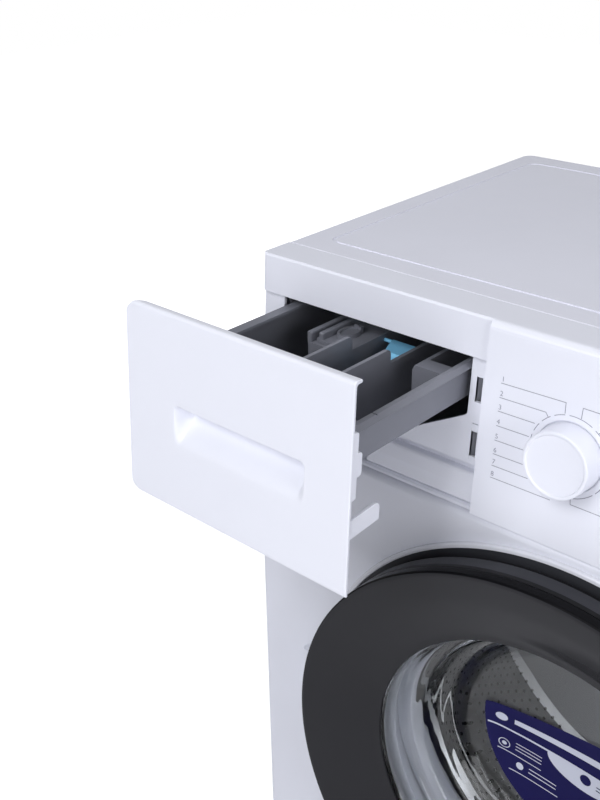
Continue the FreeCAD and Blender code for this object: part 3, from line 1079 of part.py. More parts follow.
def drum_pulley():
    """Spoked belt pulley on the drum shaft, with the bolt and washer that hold it."""
    y0, y1 = PULLEY_Y - 9.0, PULLEY_Y + 9.0
    rim = turned([(PULLEY_R - 6, y0), (PULLEY_R + 2, y0), (PULLEY_R + 2, y0 + 1.4), (PULLEY_R, y0 + 1.6),
                  (PULLEY_R, y1 - 1.6), (PULLEY_R + 2, y1 - 1.4), (PULLEY_R + 2, y1), (PULLEY_R - 6, y1)])
    hub = tube(24.0, 9.0 + 0.02, y0, y1 - 2, 0, DOOR_Z)
    spokes = []
    for i in range(6):
        spoke = prism_y([(-9.0, DOOR_Z + 20), (-6.0, DOOR_Z + PULLEY_R - 4), (6.0, DOOR_Z + PULLEY_R - 4),
                         (9.0, DOOR_Z + 20)], y0 + 2, y0 + 8)
        spoke.rotate(V(0, 0, DOOR_Z), V(0, 1, 0), 60.0 * i)
        spokes.append(spoke)
    return Part.makeCompound([join([rim, hub] + spokes), pulley_bolt()])


def pulley_bolt():
    """Hexagon bolt and washer on the end of the drum shaft."""
    washer = rod(16.0, PULLEY_Y + 10.3, PULLEY_Y + 12.3, 0, DOOR_Z)
    head = prism_y([(a, b) for a, b in arc(0, DOOR_Z, 9.5, 0, 300, 5)],
                   PULLEY_Y + 12.3, PULLEY_Y + 19.0)
    return join([washer, head])


def loop(r1, r2, y0, y1):
    """Closed belt outline round the two pulleys as a solid."""
    a = V(0, 0, DOOR_Z)
    b = V(MOTOR_X, 0, MOTOR_Z)
    gap = b - a
    base = math.atan2(gap.z, gap.x)
    lift = math.acos((r1 - r2) / gap.Length)
    points = []
    for i in range(33):
        t = base + lift + (2 * math.pi - 2 * lift) * i / 32
        points.append((a.x + r1 * math.cos(t), a.z + r1 * math.sin(t)))
    for i in range(9):
        t = base - lift + 2 * lift * i / 8
        points.append((b.x + r2 * math.cos(t), b.z + r2 * math.sin(t)))
    return prism_y(points, y0, y1)


def drive_belt():
    y0, y1 = PULLEY_Y - BELT_W / 2, PULLEY_Y + BELT_W / 2
    inner = loop(PULLEY_R + 1.1, PINION_R + 0.9, y0 - 1, y1 + 1)
    return loop(PULLEY_R + 1.1 + BELT_T, PINION_R + 0.9 + BELT_T, y0, y1).cut(inner)


def drive_motor():
    """Motor slung under the tub: finned can, end bells, mounting ears, terminal block."""
    x, y, z = MOTOR_X, MOTOR_Y, MOTOR_Z
    can = rod(MOTOR_R, y, y + 100, x, z)
    bells = [rod(MOTOR_R - 8, y - 14, y + 1, x, z), rod(MOTOR_R - 8, y + 99, y + 118, x, z),
             tube(18.0, 6.0, y + 117, y + 132, x, z)]
    ears = []
    for side in (-1, 1):
        ears.append(box(x + side * 34 - 9, x + side * 34 + 9, y + 26 + GAP, y + 36, z + 20, z + 72))
    block = box(x - 20, x + 20, y + 8, y + 40, z - MOTOR_R - 10, z - MOTOR_R + 6)
    bolts = [rod(3.0, y + 8, y + 40, x + side * 34, z + 62) for side in (-1, 1)]
    heads = [rod(6.0, y + 8, y + 13.7, x + side * 34, z + 62) for side in (-1, 1)]
    slots = []
    for i in range(8):
        slot = box(x - 4, x + 4, y + 112, y + 120, z + 26, z + 38)
        slot.rotate(V(x, 0, z), V(0, 1, 0), 45 * i + 22.5)
        slots.append(slot)
    bore = rod(6.0 + RUN, y + 100, y + 140, x, z)
    return cut(join([can] + bells + ears + [block] + bolts + heads), slots + [bore])


def motor_pulley():
    """Motor shaft with its ribbed belt pulley."""
    x, z = MOTOR_X, MOTOR_Z
    shaft = rod(6.0, MOTOR_Y + 106, PULLEY_Y + 12, x, z)
    wheel = rod(PINION_R, PULLEY_Y - 10, PULLEY_Y + 10, x, z)
    lips = [rod(PINION_R + 2.4, PULLEY_Y + d, PULLEY_Y + d + 1.6, x, z) for d in (-10.0, 8.4)]
    flat = box(x - 8, x + 8, PULLEY_Y + 10, PULLEY_Y + 14, z + 3.5, z + 8)
    return cut(join([shaft, wheel] + lips), [flat])


def wash_heater():
    """U-shaped heater in the bottom of the tub with its sealing block and terminals."""
    z = DOOR_Z - 240.6
    legs = [rod(3.2, 120, TUB_END + 4, x, z) for x in (-22.0, 22.0)]
    bend = Part.makeTorus(22.0, 3.2, V(0, FRONT + 120, z), V(0, 0, 1), 0, 360)
    bend = bend.common(box(-30, 30, 90, 120, z - 5, z + 5))
    plug = box(-33.6, 33.6, TUB_END - 2, TUB_END + 4.4, DOOR_Z - 244.1, DOOR_Z - 229.4)
    plate = box(-40, 40, TUB_END + 3.3, TUB_END + 6.3, DOOR_Z - 246, DOOR_Z - 226)
    tabs = [box(x - 3, x + 3, TUB_END + 6, TUB_END + 16, z - 0.6, z + 0.6) for x in (-22.0, 22.0)]
    return join(legs + [bend, plug, plate] + tabs)


def drain_pump():
    """Pump body with filter chamber, motor can, inlet neck, outlet and mounting feet."""
    x, z = PUMP_X, PUMP_Z
    chamber = rod(27.5, 16.0, 88.0, x, z)
    volute = rod(25.0, 87.0, 106.0, x, z)
    motor = box(x - 22, x + 22, 105.0, 138.0, z - 20, z + 20)
    neck = Part.makeCylinder(19.0, 30.0, V(x - 50, FRONT + 56, z + 8), V(1, 0, 0))
    outlet = Part.makeCylinder(9.0, 42.0, V(x, FRONT + 95, z + 14), V(0, 0, 1))
    feet = [box(x - 20, x + 20, y, y + 8, BODY_LOW + SHEET + 2 * GAP + 3, z - 22) for y in (28.0, 66.0)]
    tools = [rod(24.0, 10.0, 84.0, x, z), rod(20.0, 88.0, 101.0, x, z),
             Part.makeCylinder(14.0, 40.0, V(x - 60, FRONT + 56, z + 8), V(1, 0, 0)),
             Part.makeCylinder(5.5, 60.0, V(x, FRONT + 95, z + 10), V(0, 0, 1)), rod(12.0, 80, 90, x, z),
             rod(3.0 + RUN, 98.0, 112.0, x, z)]
    return cut(join([chamber, volute, motor, neck, outlet] + feet), tools)


def pump_impeller():
    x, z = PUMP_X, PUMP_Z
    hub = rod(7.0, 90.0, 99.0, x, z)
    shaft = rod(3.0, 98.0, 111.0, x, z)
    blades = []
    for i in range(4):
        blade = box(x - 1.0, x + 1.0, 90.0, 97.0, z, z + 18.0)
        blade.rotate(V(x, 0, z), V(0, 1, 0), 90 * i + 20)
        blades.append(blade)
    disc = rod(18.0, 97.0, 98.6, x, z)
    return join([hub, shaft, disc] + blades)


def drain_filter():
    """Turn-out lint filter: grip bar, sealing head, basket of bars and nose ring."""
    x, z = PUMP_X, PUMP_Z
    head = rod(26.0, 10.0, 15.6, x, z)
    seal = rod(24.0 - GAP, 15.0, 27.0, x, z)
    grip = box(x - 21, x + 21, 6.6, 11.0, z - 4, z + 4)
    bars = []
    for i in range(6):
        rib = box(x - 2, x + 2, 26.0, 76.0, z + 16, z + 20)
        rib.rotate(V(x, 0, z), V(0, 1, 0), 60 * i)
        bars.append(rib)
    nose = tube(20.0, 14.0, 74.0, 79.0, x, z)
    return join([head, seal, grip, nose] + bars)


def sump_hose():
    """Rubber hose from the tub sump down to the drain pump, swept in wide bends."""
    end = V(PUMP_X - 28.0, FRONT + 56.0, PUMP_Z + 8)
    a = V(SUMP_X, FRONT + SUMP_Y, 210.0)
    b = V(SUMP_X, FRONT + SUMP_Y, end.z)
    c = V(SUMP_X + 80.0, end.y, end.z)
    bend = 46.0
    spine = Part.Wire(Part.__sortEdges__(smooth_path([a, b, c, end], bend)))
    outer = Part.Wire([Part.makeCircle(22.0, a, V(0, 0, -1))])
    inner = Part.Wire([Part.makeCircle(19.3, a, V(0, 0, -1))])
    return spine.makePipeShell([outer], True, True).cut(spine.makePipeShell([inner], True, True))


def smooth_path(points, radius):
    """Straight runs through the points with an arc of the given radius at each corner."""
    edges = []
    start = points[0]
    for before, corner, after in zip(points, points[1:], points[2:]):
        u = (before - corner).normalize()
        w = (after - corner).normalize()
        half = math.acos(u.dot(w)) / 2
        leg = radius / math.tan(half)
        p, q = corner + u * leg, corner + w * leg
        middle = corner + (u + w).normalize() * (radius / math.sin(half) - radius)
        edges.append(Part.makeLine(start, p))
        edges.append(Part.Arc(p, middle, q).toShape())
        start = q
    edges.append(Part.makeLine(start, points[-1]))
    return edges


# ---------------------------------------------------------------- door
def door_bezel():
    """White ring around the door on the steel front, notched for hinge and latch."""
    outline = [(BEZEL_R, -0.1), (BEZEL_R, -0.9), (BEZEL_R - 0.8, -2.6), (BEZEL_R - 2.6, -3.8),
               (BEZEL_R - 4.0, -4.0),
               (206.0, -4.0), (206.0, -0.1)]
    ring = turned(outline)
    tools = [box(HINGE_X - 5.2, HINGE_X + 6.2, -8, 2, DOOR_Z - 20.4, DOOR_Z + 20.4)]
    return cut(ring, tools)


def door_outer_ring():
    """Dished glossy ring with a rounded rim and an inner lip."""
    face = [(DOOR_R + 0.95, -28.6), (DOOR_R + 1.1, -34.3), (DOOR_R + 0.5, -36.6), (DOOR_R - 1.4, DOOR_FACE)]
    face += [(205.0, -34.0), (190.0, -29.3), (172.0, -22.0), (156.0, -15.4), (DISH_R, DISH_FACE)]
    inner = [(DISH_R, -12.0), (153.0, -12.0), (157.0, -13.4), (173.0, -19.4), (191.0, -26.6), (206.0, -31.2),
             (DOOR_R - 3.1, -33.6), (DOOR_R - 2.0, -33.4), (DOOR_R - 2.1, -28.6)]
    return turned(face + inner)


def door_inner_frame():
    """Rear half of the door: back wall, glass seat, bosses for hinge and hook."""
    shell = turned([(DOOR_R - 0.1, -11.7), (DOOR_R - 0.2, -9.6), (DOOR_R - 1.4, -8.4), (DOOR_R - 5.5, -7.6),
                    (DOOR_R - 9.5, -4.7),
                    (161.0, -4.7), (156.0, -5.6), (152.6, -6.0), (152.6, -8.2), (158.0, -8.2), (158.0, -11.0),
                    (161.0, -11.0), (163.0, -7.0), (DOOR_R - 10.9, -7.0), (DOOR_R - 6.9, -10.2),
                    (DOOR_R - 2.8, -11.2), (DOOR_R - 2.6, -11.7)])
    blocks = [box(HOOK_X - 6.0, HOOK_X + 7.9, -19.0, -6.5, DOOR_Z + d, DOOR_Z + d + 5.0) for d in (8.6,
                                                                                                   -13.6)]
    cheeks = [box(HOOK_X + 6.2, HOOK_X + 7.9, -19.0, -6.5, DOOR_Z - 13.6, DOOR_Z + 13.6)]
    posts = []
    for i in range(8):
        post_i = tube(3.4, 1.4, -17.6, -6.6, 0, DOOR_Z)
        post_i.translate(V(182.0 * math.cos(math.radians(22.5 + 45 * i)), 0,
                           182.0 * math.sin(math.radians(22.5 + 45 * i))))
        posts.append(post_i)
    shape = join([shell] + blocks + cheeks + posts)
    tools = [box(HOOK_X - 8.5, HOOK_X + 6.2, -10, 0, DOOR_Z - 8.6, DOOR_Z + 8.6)]
    tools.append(bar(2.0 + RUN, (HOOK_X, FRONT + HOOK_Y, DOOR_Z - 20), (HOOK_X, FRONT + HOOK_Y, DOOR_Z + 20)))
    return cut(shape, tools)


def door_grip():
    """Side band of the door with the finger cup moulded into its right side."""
    band = turned([(DOOR_R + 0.9, -28.3), (DOOR_R + 0.1, -12.0), (DOOR_R - 2.2, -12.0),
                   (DOOR_R - 2.1, -28.3)])
    outer = box(DOOR_R - 19.1, DOOR_R + 5, -28.3, -12.2, DOOR_Z - 45.7, DOOR_Z + 45.7)
    outer = outer.common(rod(DOOR_R - 0.2, -60, 20, 0, DOOR_Z))
    inner = box(DOOR_R - 17.1, DOOR_R + 22, -26.5, -14.0, DOOR_Z - 43.9, DOOR_Z + 43.9)
    slots = [box(HINGE_X - 2, HINGE_X + 20, HINGE_Y - 3.0, HINGE_Y + 3.0, z, z + 25.6)
             for z in (DOOR_Z - 45.3, DOOR_Z + 19.7)]
    return cut(join([band, outer]), [inner] + slots)


def door_glass():
    """Stepped glass bowl with a clamped rim."""
    line = [(157.5, -10.0), (151.0, -10.0), (148.6, -3.0), (143.0, 16.0), (134.0, 20.5), (129.0, 40.0),
            (119.0, 44.0),
            (110.0, 60.0), (92.0, 69.0), (50.0, 74.0), (0.0, 75.5)]
    outline = skin(line, GLASS_T - 1.0)
    outline = [(max(r, 0.0), y) for r, y in outline]
    return turned(outline)


def door_hinge_bracket():
    """Fixed hinge half: plate behind the steel front, neck, middle knuckle, riveted pin."""
    plate = box(HINGE_X - 34.0, HINGE_X + 18.0, SHEET + GAP, SHEET + GAP + 3.0, DOOR_Z - 44, DOOR_Z + 44)
    plate = rounded(plate, 5.0, lambda e: along(e, V(0, 1, 0)))
    neck = box(HINGE_X - 3.5, HINGE_X + 3.5, HINGE_Y, SHEET + 3, DOOR_Z - 19.6, DOOR_Z + 19.6)
    knuckle = post(5.0, DOOR_Z - 19.6, DOOR_Z + 19.6, HINGE_X, HINGE_Y)
    pin = post(HINGE_PIN_R, DOOR_Z - 46.0, DOOR_Z + 46.0, HINGE_X, HINGE_Y)
    return join([plate, neck, knuckle, pin])


def door_hinge_arm():
    """Moving hinge half: two knuckles with leaves held inside the door frame."""
    parts = []
    for z0 in (DOOR_Z - 45.0, DOOR_Z + 20.0):
        parts.append(post(5.0, z0, z0 + 25.0, HINGE_X, HINGE_Y))
        parts.append(box(HINGE_X, HINGE_X + 32.0, HINGE_Y - 2.0, HINGE_Y + 2.0, z0, z0 + 25.0))
    parts.append(box(HINGE_X + 20.0, HINGE_X + 32.0, HINGE_Y - 2.0, HINGE_Y + 2.0, DOOR_Z - 45.0, DOOR_Z + 45.0))
    bore = post(HINGE_PIN_R + RUN, DOOR_Z - 50, DOOR_Z + 50, HINGE_X, HINGE_Y)
    return cut(join(parts), [bore])


def door_hook():
    """Latch hook on its cross pin, nose turned towards the drum."""
    arm = prism_z([(HOOK_X - 3.4, HOOK_Y - 3.4), (HOOK_X + 3.4, HOOK_Y - 3.4), (HOOK_X + 3.4, 3.0),
                   (HOOK_X + 2.6, 14.0), (HOOK_X - 1.5, 17.0), (HOOK_X - 6.8, 11.5), (HOOK_X - 6.2, 9.6),
                   (HOOK_X - 2.6, 9.2), (HOOK_X - 2.4, 2.0)], DOOR_Z - 8.0, DOOR_Z + 8.0)
    pin = bar(2.0, (HOOK_X, FRONT + HOOK_Y, DOOR_Z - 13.0), (HOOK_X, FRONT + HOOK_Y, DOOR_Z + 13.0))
    return join([arm, pin])


def door_lock():
    """Door lock behind the latch slot: hollow mouth, coil housing and plug."""
    body = box(180.0, 209.0, SHEET + GAP, 30.0, DOOR_Z - 46, DOOR_Z + 20)
    mouth = box(181.5, 200.0, 0, 26.0, DOOR_Z - 14, DOOR_Z + 14)
    plug = box(186.0, 202.0, 20.0, 36.0, DOOR_Z - 60, DOOR_Z - 45)
    ears = [box(183.0, 205.0, SHEET + GAP, 5.0, DOOR_Z + a, DOOR_Z + b)
            for a, b in ((19.0, 30.0), (-56.0, -45.0))]
    return cut(join([body, plug] + ears), [mouth])


# ---------------------------------------------------------------- build
PIECES = {
    "left_side_panel": lambda: side_panel(-1),
    "right_side_panel": lambda: side_panel(1),
    "front_panel": front_panel,
    "plinth_panel": plinth_panel,
    "filter_cover": filter_cover,
    "back_panel": back_panel,
    "back_access_cover": access_cover,
    "panel_screws": panel_screws,
    "transit_caps": transit_caps,
    "cord_gland": cord_gland,
    "base_frame": base_frame,
    "levelling_feet": levelling_feet,
    "worktop": worktop,
    "cross_rail": cross_rail,
    "control_fascia": control_fascia,
    "display_window": display_window,
    "control_board": control_board,
    "dial_encoder": dial_encoder,
    "dial_knob": dial_knob,
    "start_button": lambda: push_button(START_X, START_UP, START_R),
    "option_button_left": lambda: push_button(*BUTTONS[0], BUTTON_R),
    "option_button_right": lambda: push_button(*BUTTONS[1], BUTTON_R),
    "drawer_front": drawer_front,
    "detergent_tray": detergent_tray,
    "siphon_cap": siphon_cap,
    "liquid_flap": liquid_flap,
    "dispenser_housing": dispenser_housing,
    "inlet_valve": inlet_valve,
    "fill_hose": fill_hose,
    "dispenser_hose": dispenser_hose,
    "pressure_switch": pressure_switch,
    "tub_front": tub_front,
    "tub_rear": tub_rear,
    "top_counterweight": top_counterweight,
    "suspension_springs": suspension_springs,
    "damper_tubes": damper_tubes,
    "damper_rods": damper_rods,
    "door_gasket": door_gasket,
    "wash_drum": wash_drum,
    "drum_lifters": drum_lifters,
    "drum_spider": drum_spider,
    "shaft_bearings": shaft_bearings,
    "drum_pulley": drum_pulley,
    "drive_belt": drive_belt,
    "drive_motor": drive_motor,
    "motor_pulley": motor_pulley,
    "wash_heater": wash_heater,
    "drain_pump": drain_pump,
    "pump_impeller": pump_impeller,
    "drain_filter": drain_filter,
    "sump_hose": sump_hose,
    "door_bezel": door_bezel,
    "door_outer_ring": door_outer_ring,
    "door_inner_frame": door_inner_frame,
    "door_grip": door_grip,
    "door_glass": door_glass,
    "door_hinge_bracket": door_hinge_bracket,
    "door_hinge_arm": door_hinge_arm,
    "door_hook": door_hook,
    "door_lock": door_lock,
}

os.makedirs("parts", exist_ok=True)
for name, make in PIECES.items():
    make().exportStep("parts/" + name + ".step")
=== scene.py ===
import json
import math
import bmesh
import bpy
import numpy as np
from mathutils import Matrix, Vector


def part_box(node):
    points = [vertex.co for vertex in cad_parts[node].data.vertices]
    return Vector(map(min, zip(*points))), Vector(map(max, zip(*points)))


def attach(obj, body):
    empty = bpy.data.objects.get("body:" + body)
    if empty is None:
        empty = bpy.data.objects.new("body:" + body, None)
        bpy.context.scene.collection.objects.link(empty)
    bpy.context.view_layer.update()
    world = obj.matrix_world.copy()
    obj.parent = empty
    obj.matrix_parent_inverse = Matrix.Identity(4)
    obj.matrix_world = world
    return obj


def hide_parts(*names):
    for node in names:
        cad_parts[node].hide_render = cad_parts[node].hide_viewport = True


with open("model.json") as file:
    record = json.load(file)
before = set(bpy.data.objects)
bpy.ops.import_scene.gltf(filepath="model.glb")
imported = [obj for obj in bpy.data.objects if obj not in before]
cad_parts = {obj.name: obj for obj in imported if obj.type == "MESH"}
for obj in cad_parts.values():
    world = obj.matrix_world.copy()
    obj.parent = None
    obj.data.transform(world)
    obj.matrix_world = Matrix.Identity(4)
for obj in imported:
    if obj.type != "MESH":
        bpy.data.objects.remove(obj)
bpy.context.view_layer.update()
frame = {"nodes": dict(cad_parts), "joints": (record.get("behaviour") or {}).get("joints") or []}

# Front load washing machine. Metres, +Z up, +Y towards the back, x from the machine's middle.
# Profiles round the door are (radius, y) in millimetres, with y measured from the steel front.
# Profiles on the leaning face are (depth, up) in millimetres, from the foot of the fascia.

MM = 0.001

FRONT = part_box("front_panel")[0].y
DOOR_Z = (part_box("door_bezel")[0].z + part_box("door_bezel")[1].z) / 2
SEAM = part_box("control_fascia")[0].z
DIAL = next(j for j in frame["joints"] if j["name"] == "dial_turn")
LEAN = math.asin(DIAL["axis"][2])


# ---------------------------------------------------------------- surfaces
def quads(rows, cols, ring_rows=False, ring_cols=False):
    """Four-cornered faces between neighbouring points of a grid, joined round where asked."""
    i, j = np.meshgrid(np.arange(rows if ring_rows else rows - 1),
                       np.arange(cols if ring_cols else cols - 1), indexing="ij")
    k, m = (i + 1) % rows, (j + 1) % cols
    return np.stack([i * cols + j, k * cols + j, k * cols + m, i * cols + m], -1).reshape(-1, 4)


def make_piece(name, body, finish, parts, crease=35.0, outward=True, stands_for=(), bevel=None):
    """One mesh from (points, faces) pairs: doubles merged, faces turned outwards, smooth below the
    crease angle (degrees). The finish is a material or a list of them; a bevel is in metres."""
    points = np.concatenate([np.asarray(p, float).reshape(-1, 3) for p, f in parts])
    faces, start = [], 0
    for p, f in parts:
        faces += [[v + start for v in face] for face in (f.tolist() if isinstance(f, np.ndarray) else f)]
        start += np.asarray(p).reshape(-1, 3).shape[0]
    mesh = bpy.data.meshes.new(name)
    mesh.from_pydata(points.tolist(), [], faces)
    work = bmesh.new()
    work.from_mesh(mesh)
    bmesh.ops.remove_doubles(work, verts=work.verts, dist=2e-6)
    bmesh.ops.dissolve_degenerate(work, edges=work.edges, dist=1e-6)
    if outward:
        bmesh.ops.recalc_face_normals(work, faces=work.faces)
    work.to_mesh(mesh)
    work.free()
    mesh.shade_smooth()
    mesh.set_sharp_from_angle(angle=math.radians(crease))
    piece = bpy.data.objects.new(name, mesh)
    bpy.context.scene.collection.objects.link(piece)
    for one in finish if isinstance(finish, (list, tuple)) else [finish]:
        mesh.materials.append(one)
    if bevel:
        soft = piece.modifiers.new("edge", "BEVEL")
        soft.width = bevel
        soft.segments = 2
        soft.limit_method = "ANGLE"
        soft.angle_limit = math.radians(40)
    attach(piece, body)
    if stands_for:
        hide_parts(*stands_for)
    return piece


def flowing(points, steps=6):
    """Line that passes smoothly through its points: on each span a cubic whose slopes at the ends
    are half the chord between the neighbours."""
    p = np.asarray(points, float)
    q = np.vstack([2 * p[0] - p[1], p, 2 * p[-1] - p[-2]])
    t = np.linspace(0, 1, steps, endpoint=False)[None, :, None]
    a, b, c, d = (q[k:len(q) - 3 + k][:, None, :] for k in range(4))
    spans = 0.5 * (2 * b + (c - a) * t + (2 * a - 5 * b + 4 * c - d) * t ** 2
                   + (3 * b - a - 3 * c + d) * t ** 3)
    return np.vstack([spans.reshape(-1, 2), p[-1:]])


def rounded(points, radii, steps=5, closed=True):
    """Outline whose corners are arcs of the given radii, tangent to both sides: on each corner b the
    rational curve ((1-t)^2 p0 + 2t(1-t) k b + t^2 p2) / ((1-t)^2 + 2t(1-t) k + t^2), k = sin(half angle)."""
    p = np.asarray(points, float)
    out = []
    for i, r in enumerate(radii):
        if r <= 0 or (not closed and i in (0, len(p) - 1)):
            out.append(p[i:i + 1])
            continue
        a, b, c = p[i - 1], p[i], p[(i + 1) % len(p)]
        u, w = (a - b) / np.linalg.norm(a - b), (c - b) / np.linalg.norm(c - b)
        half = math.acos(np.clip(u @ w, -1, 1)) / 2
        leg = min(r / math.tan(half), 0.49 * np.linalg.norm(a - b), 0.49 * np.linalg.norm(c - b))
        t = np.linspace(0, 1, steps + 1)[:, None]
        p0, p2 = b + u * leg, b + w * leg
        k = math.sin(half)
        out.append(((1 - t) ** 2 * p0 + 2 * t * (1 - t) * k * b + t ** 2 * p2) /
                   ((1 - t) ** 2 + 2 * t * (1 - t) * k + t ** 2))
    return np.vstack(out)


def turned(profile, angles=None, centre=None):
    """Closed profile (radius, y) carried round the door axis: x = r cos a, z = r sin a.
    The profile may be one line for all angles or an array with one line for each angle."""
    a = np.linspace(0, 2 * np.pi, 240, endpoint=False) if angles is None else np.asarray(angles)
    p = np.asarray(profile, float)
    p = np.broadcast_to(p, (len(a),) + p.shape) if p.ndim == 2 else p
    x0, z0 = centre or (0.0, DOOR_Z)
    r = p[:, :, 0] * MM
    points = np.stack([x0 + r * np.cos(a)[:, None], FRONT + p[:, :, 1] * MM, z0 + r * np.sin(a)[:, None]], -1)
    return points.reshape(-1, 3), quads(len(a), p.shape[1], True, True)


def on_face(x, up, depth):
    """Points of the leaning fascia: up runs along the slope, depth at right angles to it, into the
    machine. y = up sin(lean) + depth cos(lean), z = up cos(lean) - depth sin(lean)."""
    x, up, depth = np.broadcast_arrays(np.asarray(x, float), np.asarray(up, float), np.asarray(depth, float))
    y = FRONT - 0.5 * MM + (up * math.sin(LEAN) + depth * math.cos(LEAN)) * MM
    z = SEAM + (up * math.cos(LEAN) - depth * math.sin(LEAN)) * MM
    return np.stack([x * MM, y, z], -1)


def ribbon(points, width, closed=False):
    """Both edges of a flat line of even width: each point moved half the width along the mean normal."""
    p = np.asarray(points, float)
    ahead = np.roll(p, -1, 0) - p if closed else np.vstack([np.diff(p, axis=0), p[-1:] - p[-2:-1]])
    ahead /= np.linalg.norm(ahead, axis=1)[:, None]
    back = np.roll(ahead, 1, 0) if closed else np.vstack([ahead[:1], ahead[:-1]])
    n1 = np.stack([-ahead[:, 1], ahead[:, 0]], -1)
    n0 = np.stack([-back[:, 1], back[:, 0]], -1)
    mid = n0 + n1
    mid /= np.linalg.norm(mid, axis=1)[:, None]
    reach = width / 2 / np.maximum(0.4, (mid * n1).sum(1))[:, None]
    return np.stack([p + mid * reach, p - mid * reach], 1)


# ---------------------------------------------------------------- finishes
class Recipe:
    """A material and short words for building its nodes."""

    def __init__(self, name):
        self.material = bpy.data.materials.new(name)
        self.material.use_nodes = True
        self.tree = self.material.node_tree
        self.tree.nodes.clear()
        self.out = self.add("ShaderNodeOutputMaterial")
        self.skin = self.add("ShaderNodeBsdfPrincipled")
        self.join(self.skin, "BSDF", self.out, "Surface")
        self.place = self.add("ShaderNodeTexCoord")

    def add(self, kind):
        return self.tree.nodes.new(kind)

    def join(self, a, a_name, b, b_name):
        self.tree.links.new(a.outputs[a_name], b.inputs[b_name])

    def cloud(self, scale, detail=2.0, roughness=0.5):
        """Noise over the object coordinates."""
        node = self.add("ShaderNodeTexNoise")
        node.inputs["Scale"].default_value = scale
        node.inputs["Detail"].default_value = detail
        node.inputs["Roughness"].default_value = roughness
        self.join(self.place, "Object", node, "Vector")
        return node

    def range(self, source, out_name, low, high, start=0.3, end=0.7):
        """A value carried from start..end to low..high."""
        node = self.add("ShaderNodeMapRange")
        for key, value in (("From Min", start), ("From Max", end), ("To Min", low), ("To Max", high)):
            node.inputs[key].default_value = value
        self.join(source, out_name, node, "Value")
        return node

    def tint(self, source, out_name, colour_a, colour_b, start=0.3, end=0.7):
        """Colour between two, by a value."""
        node = self.add("ShaderNodeValToRGB")
        ramp = node.color_ramp
        ramp.elements[0].position, ramp.elements[1].position = start, end
        ramp.elements[0].color = (*colour_a, 1)
        ramp.elements[1].color = (*colour_b, 1)
        self.join(source, out_name, node, "Fac")
        return node

    def relief(self, source, out_name, strength, distance):
        """Bump on the skin, its height from a value."""
        node = self.add("ShaderNodeBump")
        node.inputs["Strength"].default_value = strength
        node.inputs["Distance"].default_value = distance
        self.join(source, out_name, node, "Height")
        self.join(node, "Normal", self.skin, "Normal")
        return node


def shade(colour, factor):
    return tuple(min(1.0, c * factor) for c in colour)


def finish(name, colour, rough, grain, relief, drift, rough_spread, metal=0.0, specular=0.5, blotch=9.0):
    """Moulded, painted or drawn surface: slow drift of colour, cloudy gloss and a fine relief grain.
    relief = (strength, distance in metres); blotch and grain are noise scales."""
    m = Recipe(name)
    slow = m.cloud(blotch, 3.0)
    tones = m.tint(slow, "Fac", shade(colour, 1 - drift), shade(colour, 1 + drift))
    m.join(tones, "Color", m.skin, "Base Color")
    smear = m.cloud(blotch * 4.2, 4.0, 0.6)
    gloss = m.range(smear, "Fac", max(0.02, rough - rough_spread), rough + rough_spread)
    m.join(gloss, "Result", m.skin, "Roughness")
    m.relief(m.cloud(grain), "Fac", *relief)
    m.skin.inputs["Metallic"].default_value = metal
    m.skin.inputs["Specular IOR Level"].default_value = specular
    return m


white_steel = finish("white_enamelled_steel", (0.735, 0.745, 0.815), 0.34, 420.0, (0.10, 0.00016), 0.012,
                     0.04)
white_plastic = finish("white_moulded_plastic", (0.83, 0.84, 0.915), 0.38, 1500.0, (0.10, 0.00006), 0.010,
                       0.05)
drawer_white = finish("white_drawer_plastic", (0.83, 0.84, 0.91), 0.36, 1500.0, (0.10, 0.00006), 0.010, 0.05)
worktop_board = finish("worktop_laminate", (0.805, 0.81, 0.89), 0.42, 700.0, (0.16, 0.00012), 0.012, 0.05)
bezel_white = finish("door_trim_white", (0.74, 0.745, 0.80), 0.24, 1500.0, (0.03, 0.00003), 0.006, 0.02,
                     blotch=3.0)
black_gloss = finish("door_ring_black_gloss", (0.024, 0.024, 0.027), 0.13, 260.0, (0.02, 0.0001), 0.05, 0.02,
                     specular=0.11)
rim_black = finish("door_rim_black", (0.006, 0.006, 0.007), 0.20, 500.0, (0.04, 0.0001), 0.05, 0.03,
                   specular=0.03)
# Dark paint on the inner part of the door trim, standing in for the shade in the gap between the door and the
# steel.
trim_gap_painted_shade = finish("door_trim_gap_painted_shade", (0.036, 0.037, 0.043), 0.42, 900.0, (0.2, 0.00012), 0.05, 0.06,
                    specular=0.2)
door_band = finish("door_side_two_tone", (0.036, 0.037, 0.043), 0.42, 900.0, (0.15, 0.0001), 0.05, 0.06,
                   specular=0.12)
charcoal_tray = finish("tray_charcoal_plastic", (0.190, 0.195, 0.225), 0.44, 1100.0, (0.25, 0.00012), 0.05,
                       0.07)
blue_plastic = finish("flap_blue_plastic", (0.27, 0.68, 1.0), 0.34, 1200.0, (0.12, 0.0001), 0.03, 0.05)
grey_plastic = finish("inner_grey_plastic", (0.42, 0.43, 0.45), 0.5, 900.0, (0.25, 0.00014), 0.04, 0.07)
grey_rubber = finish("gasket_grey_rubber", (0.47, 0.48, 0.54), 0.55, 1400.0, (0.35, 0.00014), 0.06, 0.08)
black_rubber = finish("hose_black_rubber", (0.022, 0.022, 0.024), 0.6, 1000.0, (0.4, 0.00016), 0.08, 0.08)
board_green = finish("circuit_board_green", (0.02, 0.16, 0.06), 0.4, 260.0, (0.3, 0.0002), 0.25, 0.1,
                     blotch=60.0)
printed_grey = finish("dial_print_grey", (0.27, 0.27, 0.34), 0.5, 1800.0, (0.1, 0.00003), 0.05, 0.05)
label_navy = finish("label_navy", (0.012, 0.011, 0.075), 0.4, 1800.0, (0.1, 0.00004), 0.05, 0.05,
                    specular=0.08)
label_pale = finish("label_pale", (0.60, 0.62, 0.72), 0.4, 1800.0, (0.1, 0.00004), 0.03, 0.05, specular=0.2)
